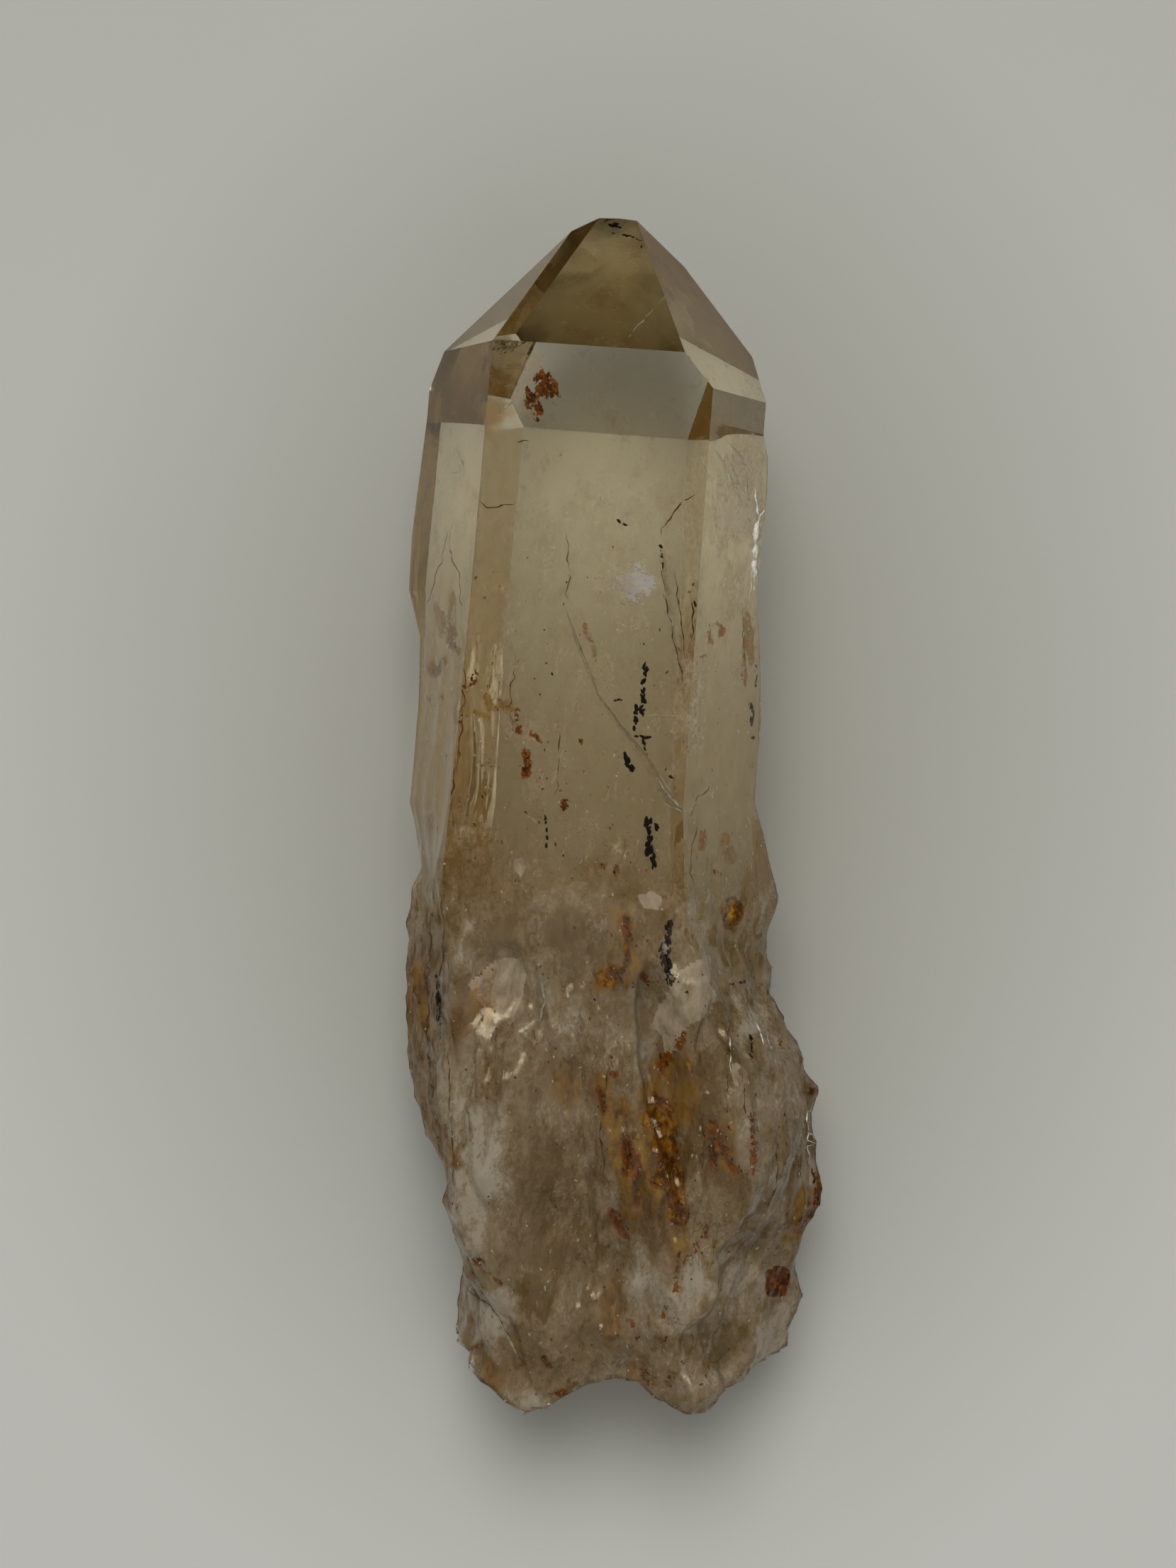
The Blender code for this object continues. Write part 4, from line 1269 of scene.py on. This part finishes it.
def make_veils():
    """Milky layers deep in the root: its sections shrunk about their middles and waved by soft noise, with
    painted light making their front ends paler.
    """
    material = veil_material()
    for number, (share, start, milk, seed) in enumerate(VEILS, 1):
        stations = np.arange(start, BASE_START, VEIL_STEP)
        grid = crystal_grid(stations, VEIL_SIDES, VEIL_BASE_ROWS, VEIL_RINGS, inset=VEIL_INSET)
        middle = grid.mean(axis=1, keepdims=True)
        wave = 1.0 + 0.28 * soft_noise(grid, (5.0, 8.0, 5.0), seed)
        nose = np.sqrt(smooth_step(grid[..., 1], start - 1.0, start + 9.0))
        shrunk = middle + (grid - middle) * (share * wave * nose)[..., None]
        shrunk[..., 1] = start + (shrunk[..., 1] - start) * 0.94
        mesh = closed_mesh(f"milky_veil_{number}", shrunk)
        p = mesh_points(mesh)
        # Painted light: the front end of each veil, facing the clear part, is painted paler, standing in for
        # light that the milk would scatter
        nose = 1.0 - smooth_step(p[..., 1], start + 4.0, start + 14.0)
        lighter = cloud_changes(*ragged_places(p, 1.1))[0]
        uneven = 0.2 * soft_noise(p, (4.0, 7.0, 4.0), seed + 1)
        tone = 0.62 + 0.38 * nose + lighter * (1.0 - nose) + uneven
        paint(mesh, "cloud", [np.full(len(p), milk), tone])
        new_piece(f"milky_veil_{number}", mesh, material)


def film(surface, edge, foot, depth, count=60, across=8):
    """A thin sloping film: edge + (foot - edge) * s, gone round at half the thickness above and below.

    The edge lies by the skin, and the foot lies at the depth behind its own place in the view.
    """
    top = sunk(landed(surface, along_path(edge, count))[0], FILM_DEPTH)
    bottom = sunk(landed(surface, along_path(foot, count))[0], depth)
    share = np.concatenate([np.linspace(0.0, 1.0, across), np.linspace(1.0, 0.0, across)])
    side = np.concatenate([np.full(across, 1.0), np.full(across, -1.0)])
    grid = top[:, None, :] + (bottom - top)[:, None, :] * share[None, :, None]
    grid[..., 2] += FILM_HALF * side[None, :]
    along = np.linspace(0.0, 1.0, count)[:, None]
    rim = np.broadcast_to((1.0 - share) ** 3, grid.shape[:2])
    return grid, rim, np.broadcast_to(smooth_step(along, 0.78, 0.95), grid.shape[:2])


def make_cracks(surface):
    """The healed cracks that slant in from the faces."""
    material = crack_material()
    for name, edge, foot, depth in CRACKS:
        grid, rim, end = film(surface, edge, foot, depth)
        mesh = new_mesh(name, grid)
        paint(mesh, "film", [rim.ravel(), end.ravel()])
        new_piece(name, mesh, material)


def lens(centre, half, seed, bow, rings_out=14, around=40):
    """A thin wavy lens about a centre: r and angle give x and t, height is +-thickness (1 - r^2) + bow."""
    angle = np.linspace(0.0, 2.0 * math.pi, around, endpoint=False)
    out = np.concatenate([np.linspace(0.0, 1.0, rings_out), np.linspace(1.0, 0.0, rings_out)[1:]])
    side = np.concatenate([np.ones(rings_out), -np.ones(rings_out - 1)])
    ring = np.stack([np.cos(angle) * 2.0, np.sin(angle) * 2.0, 0.0 * angle], -1)
    ragged = 1.0 + 0.22 * soft_noise(ring, (1.0, 1.0, 1.0), seed)
    x = out[:, None] * (np.cos(angle) * half[0] * ragged)[None, :]
    t = out[:, None] * (np.sin(angle) * half[1] * ragged)[None, :]
    z = (side * 0.03 * (1.0 - out ** 2))[:, None] + bow * (x * 0.4 + 0.25 * np.sin(t * 2.1))
    return np.stack([x, t, z], -1) + centre, np.broadcast_to(1.0 - out[:, None] ** 2, x.shape)


def make_rainbow(surface):
    """The small crack with interference colours under the top face."""
    centre = sunk(landed(surface, np.array([RAINBOW_PLACE]))[0], RAINBOW_DEPTH)[0]
    grid, rim = lens(centre, RAINBOW_HALF, 71, 0.35)
    mesh = new_mesh("rainbow_crack", grid)
    paint(mesh, "film", [rim.ravel()])
    new_piece("rainbow_crack", mesh, rainbow_material())


def lumps(centres, outward, bearings, halves, seed, rows=4, columns=6):
    """Small closed lumps: a ball's grid scaled by each half size (across, along, through the surface).

    Soft noise pushes each one in and out. Through is the surface's outward direction, and along is the
    bearing in x and t, brought square to it.
    """
    polar = np.linspace(0.0, math.pi, rows)[:, None]
    angle = np.linspace(0.0, 2.0 * math.pi, columns, endpoint=False)[None, :]
    ball = np.stack([np.sin(polar) * np.cos(angle), np.cos(polar) + 0.0 * angle,
                     np.sin(polar) * np.sin(angle)], -1)
    along = np.stack([np.sin(bearings), np.cos(bearings), np.zeros(len(bearings))], -1)
    along = unit(along - outward * (along * outward).sum(-1, keepdims=True))
    frames = np.stack([np.cross(outward, along), along, outward], axis=1)
    swell = 1.0 + 0.45 * soft_noise(ball[None] * 1.4 + centres[:, None, None, :] * 3.7, (1.0, 1.0, 1.0), seed)
    shape = ball[None] * halves[:, None, None, :] * swell[..., None]
    points = np.einsum("nijk,nkl->nijl", shape, frames) + centres[:, None, None, :]
    faces = grid_faces(rows, columns)
    each = np.arange(len(centres))[:, None, None] * rows * columns
    return points.reshape(-1, 3), (faces[None] + each).reshape(-1, 4)


def strewn(chance, path, half_width, count):
    """Random places along a path, within its half width, and the path's bearing."""
    walk = along_path(path, 200)[np.sort(chance.integers(0, 200, count))]
    angle = chance.uniform(0.0, 2.0 * math.pi, count)
    away = half_width * np.sqrt(chance.uniform(0.0, 1.0, count))
    bearing = math.atan2(path[-2] - path[0], path[-1] - path[1])
    return walk + np.column_stack([np.cos(angle), np.sin(angle)]) * away[:, None], bearing


def stray_places(chance, mesh, count, start, whole):
    """Random places all over the crystal's surface, none before start and most after whole."""
    triangles = mesh.loop_triangles
    corners = np.empty(len(triangles) * 3, dtype=np.int32)
    triangles.foreach_get("vertices", corners)
    areas = np.empty(len(triangles))
    triangles.foreach_get("area", areas)
    places = mesh_points(mesh)[corners.reshape(-1, 3)]
    middle = places.mean(axis=1)
    weight = areas * smooth_step(middle[:, 1], start, whole)
    picked = chance.choice(len(middle), count, p=weight / weight.sum())
    chosen = places[picked]
    return middle[picked], unit(np.cross(chosen[:, 2] - chosen[:, 0], chosen[:, 1] - chosen[:, 0]))


def flat_halves(chance, count, least, most, length):
    """Random half sizes of flat grains: across, along and through."""
    size = chance.uniform(least, most, count)
    longer = chance.uniform(1.0, length, count)
    return np.column_stack([size, size * longer, np.minimum(size * 0.45, 0.04)])


def new_grains(name, grid, faces, colour, roughness):
    """A finished piece of small closed shapes in one mineral."""
    look = grain_material(name.replace("_", " "), colour, roughness)
    new_piece(name, closed_mesh(name, grid, faces), look)


def make_rust(surface, body):
    """Grains of rust strewn along the marks, and stray ones all over the root."""
    chance = np.random.default_rng(31)
    flat, bearings, halves, tones = [], [], [], []
    for half_width, *path in RUST:
        area = 2.0 * half_width * path_length(path) + math.pi * half_width ** 2
        count = max(FEWEST, int(RUST_GRAINS * area))
        places, bearing = strewn(chance, path, half_width, count)
        flat.append(places)
        bearings.append(bearing + chance.normal(0.0, 0.5, count))
        halves.append(flat_halves(chance, count, 0.05, min(0.16, 0.07 + 0.2 * half_width), 2.2))
        tones.append(np.clip(chance.normal(0.42, 0.22, count), 0.02, 0.95))
    points, outward = landed(surface, np.concatenate(flat))
    wild, wild_outward = stray_places(chance, body, STRAY_RUST, 22.0, 46.0)
    points = np.concatenate([points, wild])
    outward = np.concatenate([outward, wild_outward])
    bearings = np.concatenate([*bearings, chance.normal(0.0, 0.5, STRAY_RUST)])
    halves = np.concatenate([*halves, flat_halves(chance, STRAY_RUST, 0.025, 0.075, 2.5)])
    tones = np.concatenate([*tones, chance.uniform(0.0, 0.6, STRAY_RUST)])
    depth = chance.uniform(0.6, 1.4, (len(points), 1)) * MARK_DEPTH
    grid, faces = lumps(points - outward * depth, outward, bearings, halves, 5)
    mesh = new_mesh("rust_grains", grid, faces)
    paint(mesh, "tone", [np.repeat(tones, len(grid) // len(points))])
    mend(mesh)
    new_piece("rust_grains", mesh, rust_material())


def make_flecks(body):
    """Tiny pale flecks scattered through the root and the last of the clear part: pale grains, and partly
    painted sparkle of small chips.
    """
    chance = np.random.default_rng(43)
    points, outward = stray_places(chance, body, STRAY_PALE, 24.0, 60.0)
    depth = chance.uniform(0.5, 1.3, (len(points), 1)) * MARK_DEPTH
    halves = flat_halves(chance, STRAY_PALE, 0.02, 0.09, 2.6)
    grid, faces = lumps(points - outward * depth, outward, chance.normal(0.0, 0.5, STRAY_PALE), halves, 6)
    new_grains("pale_flecks", grid, faces, PALE_FLECK, 0.5)


def make_graphite(surface):
    """Black grains strewn along their trails, a little below the skin."""
    chance = np.random.default_rng(20)
    flat, bearings, halves = [], [], []
    for half_width, *path in GRAPHITE_TRAILS:
        lanes = max(1.0, half_width / 0.15)
        count = max(FEWEST, int(lanes * path_length(path) / GRAIN_SPACING))
        places, bearing = strewn(chance, path, half_width * 0.8, count)
        flat.append(places)
        bearings.append(bearing + chance.normal(0.0, 0.35, count))
        size = min(max(half_width, 0.11), 0.20) * chance.uniform(0.5, 1.2, (count, 1))
        halves.append(size * np.array([0.75, 1.5, 0.3]) * chance.uniform(0.7, 1.2, (count, 3)))
    points, outward = landed(surface, np.concatenate(flat))
    deep = sunk(points, GRAIN_DEPTH + chance.uniform(-0.02, 0.04, len(points)))
    grid, faces = lumps(deep, outward, np.concatenate(bearings), np.concatenate(halves), 5, 5, 8)
    new_grains("black_grains", grid, faces, GRAPHITE, 0.5)


def threads(surface, marks, seed, wander, depth=MARK_DEPTH):
    """Thin flat threads along paths on the surface, each with a lens-shaped section of four points.

    place + side * half width * cos + outward * half thickness * sin; the path wanders sideways by soft
    noise, and the half width swells and shrinks by it almost to nothing.
    """
    parts = []
    angle = np.array([0.0, 0.5, 1.0, 1.5]) * math.pi
    for number, (half_width, *path) in enumerate(marks):
        count = max(8, int(path_length(path) / THREAD_STEP))
        flat = along_path(path, count)
        where = np.column_stack([flat, np.full(count, 7.0 * number)])
        flat = flat + wander * np.column_stack([soft_noise(where, (0.5, 0.5, 1.0), seed),
                                                soft_noise(where, (0.5, 0.5, 1.0), seed + 1)])
        points, outward = landed(surface, flat)
        points = points - outward * depth
        side = unit(np.cross(outward, np.gradient(points, axis=0)))
        swell = np.clip(0.75 + 0.9 * soft_noise(where, (0.35, 0.35, 1.0), seed + 2), 0.08, 1.6)
        steps = np.arange(count)
        taper = np.minimum(1.0, 4.0 * np.minimum(steps + 0.5, count - steps - 0.5) / count)
        wide = (half_width * swell * taper)[:, None, None]
        grid = (points[:, None] + side[:, None] * wide * np.cos(angle)[None, :, None]
                + outward[:, None] * 0.2 * wide * np.sin(angle)[None, :, None])
        parts.append((grid.reshape(-1, 3), grid_faces(count, 4)))
    return joined(parts)


def make_threads(surface):
    """The brown threads, the painted highlights along chipped edges and the pale threads, as one piece of
    each.
    """
    new_grains("brown_threads", *threads(surface, DARK_THREADS, 3, 0.16), THREAD_BROWN, 0.7)
    # The painted highlights lie right on the surface, at no depth
    new_grains("edge_glints", *threads(surface, PAINTED_EDGE_HIGHLIGHTS, 9, 0.10, 0.0), PAINTED_HIGHLIGHT_WHITE, 0.3)
    new_grains("pale_threads", *threads(surface, PALE_THREADS, 9, 0.08), PALE_FLECK, 0.5)


def make_limonite(surface):
    """The limonite lump that sits just under the right face."""
    points, outward = landed(surface, np.array([LIMONITE_PLACE]))
    centre = points - outward * (LIMONITE_HALF[2] + LIMONITE_COVER)
    grid, faces = lumps(centre, outward, np.array([0.2]), np.array([LIMONITE_HALF]), 8, 22, 32)
    new_piece("limonite_lump", closed_mesh("limonite_lump", grid, faces), limonite_material())


# Stage, light and view

def make_paper():
    """The pale sheet that the crystal lies on."""
    mesh = bpy.data.meshes.new("paper")
    corners = [(-PAPER_HALF, -PAPER_HALF, 0), (PAPER_HALF, -PAPER_HALF, 0),
               (PAPER_HALF, PAPER_HALF, 0), (-PAPER_HALF, PAPER_HALF, 0)]
    mesh.from_pydata(corners, [], [(0, 1, 2, 3)])
    mesh.materials.append(paper_material())
    paper = linked("paper", mesh)
    paper.location.z = -PAPER_DROP


def make_light():
    """A pale surround, dark by the horizon and dimmer overhead, with a bright window past the tip and a
    dim patch to the right, and a weak soft lamp."""
    world = bpy.data.worlds.new("soft surround")
    world.use_nodes = True
    tree = world.node_tree
    direction = Wire(add_node(tree, "ShaderNodeTexCoord"), "Generated")
    height = Wire(add_node(tree, "ShaderNodeSeparateXYZ", {"Vector": direction}), "Z")
    sky = height.ramp(SURROUND_STOPS)
    for way, edges, colour, weight in SURROUND_PARTS:
        facing = add_node(tree, "ShaderNodeVectorMath", {0: direction, 1: way}, operation="DOT_PRODUCT")
        sky = blend_colour(Wire(facing, "Value").fade(*edges) * weight, sky, colour)
    feed(tree.nodes["Background"], {"Color": sky, "Strength": SURROUND_STRENGTH})
    bpy.context.scene.world = world
    data = bpy.data.lights.new("fill", "AREA")
    data.shape = "SQUARE"
    data.size = FILL_SIZE
    data.energy = FILL_POWER
    data.color = FILL_COLOUR
    light = linked("fill", data)
    light.location = FILL_PLACE
    light.rotation_euler = (-Vector(FILL_PLACE)).to_track_quat("-Z", "Y").to_euler()


def make_camera():
    """The photograph's camera, straight above, with its frame leaning against the crystal."""
    data = bpy.data.cameras.new("camera")
    data.sensor_fit = "VERTICAL"
    data.sensor_height = SENSOR_MM
    data.lens = FOCAL_PIXELS / IMAGE_SIZE[1] * SENSOR_MM
    data.clip_start, data.clip_end = CLIP
    camera = linked("camera", data)
    camera.location = [value * MM for value in CAMERA_MM]
    camera.rotation_euler = (0.0, 0.0, math.radians(CAMERA_LEAN_DEG))
    bpy.context.scene.camera = camera


def set_render_limits():
    """Enough bounces for light to pass through the quartz and its veils, and a plain view transform."""
    scene = bpy.context.scene
    for name, count in BOUNCES.items():
        setattr(scene.cycles, name, count)
    scene.view_settings.view_transform = "Standard"


make_grain_group()
make_camera()
make_light()
make_paper()
set_render_limits()
crystal = make_crystal()
crystal.calc_loop_triangles()
crystal_surface = BVHTree.FromPolygons([vertex.co for vertex in crystal.vertices],
                                       [face.vertices for face in crystal.polygons])
make_stained_skin()
make_veils()
make_cracks(crystal_surface)
make_rainbow(crystal_surface)
make_rust(crystal_surface, crystal)
make_flecks(crystal)
make_graphite(crystal_surface)
make_threads(crystal_surface)
make_limonite(crystal_surface)

bpy.context.view_layer.update()
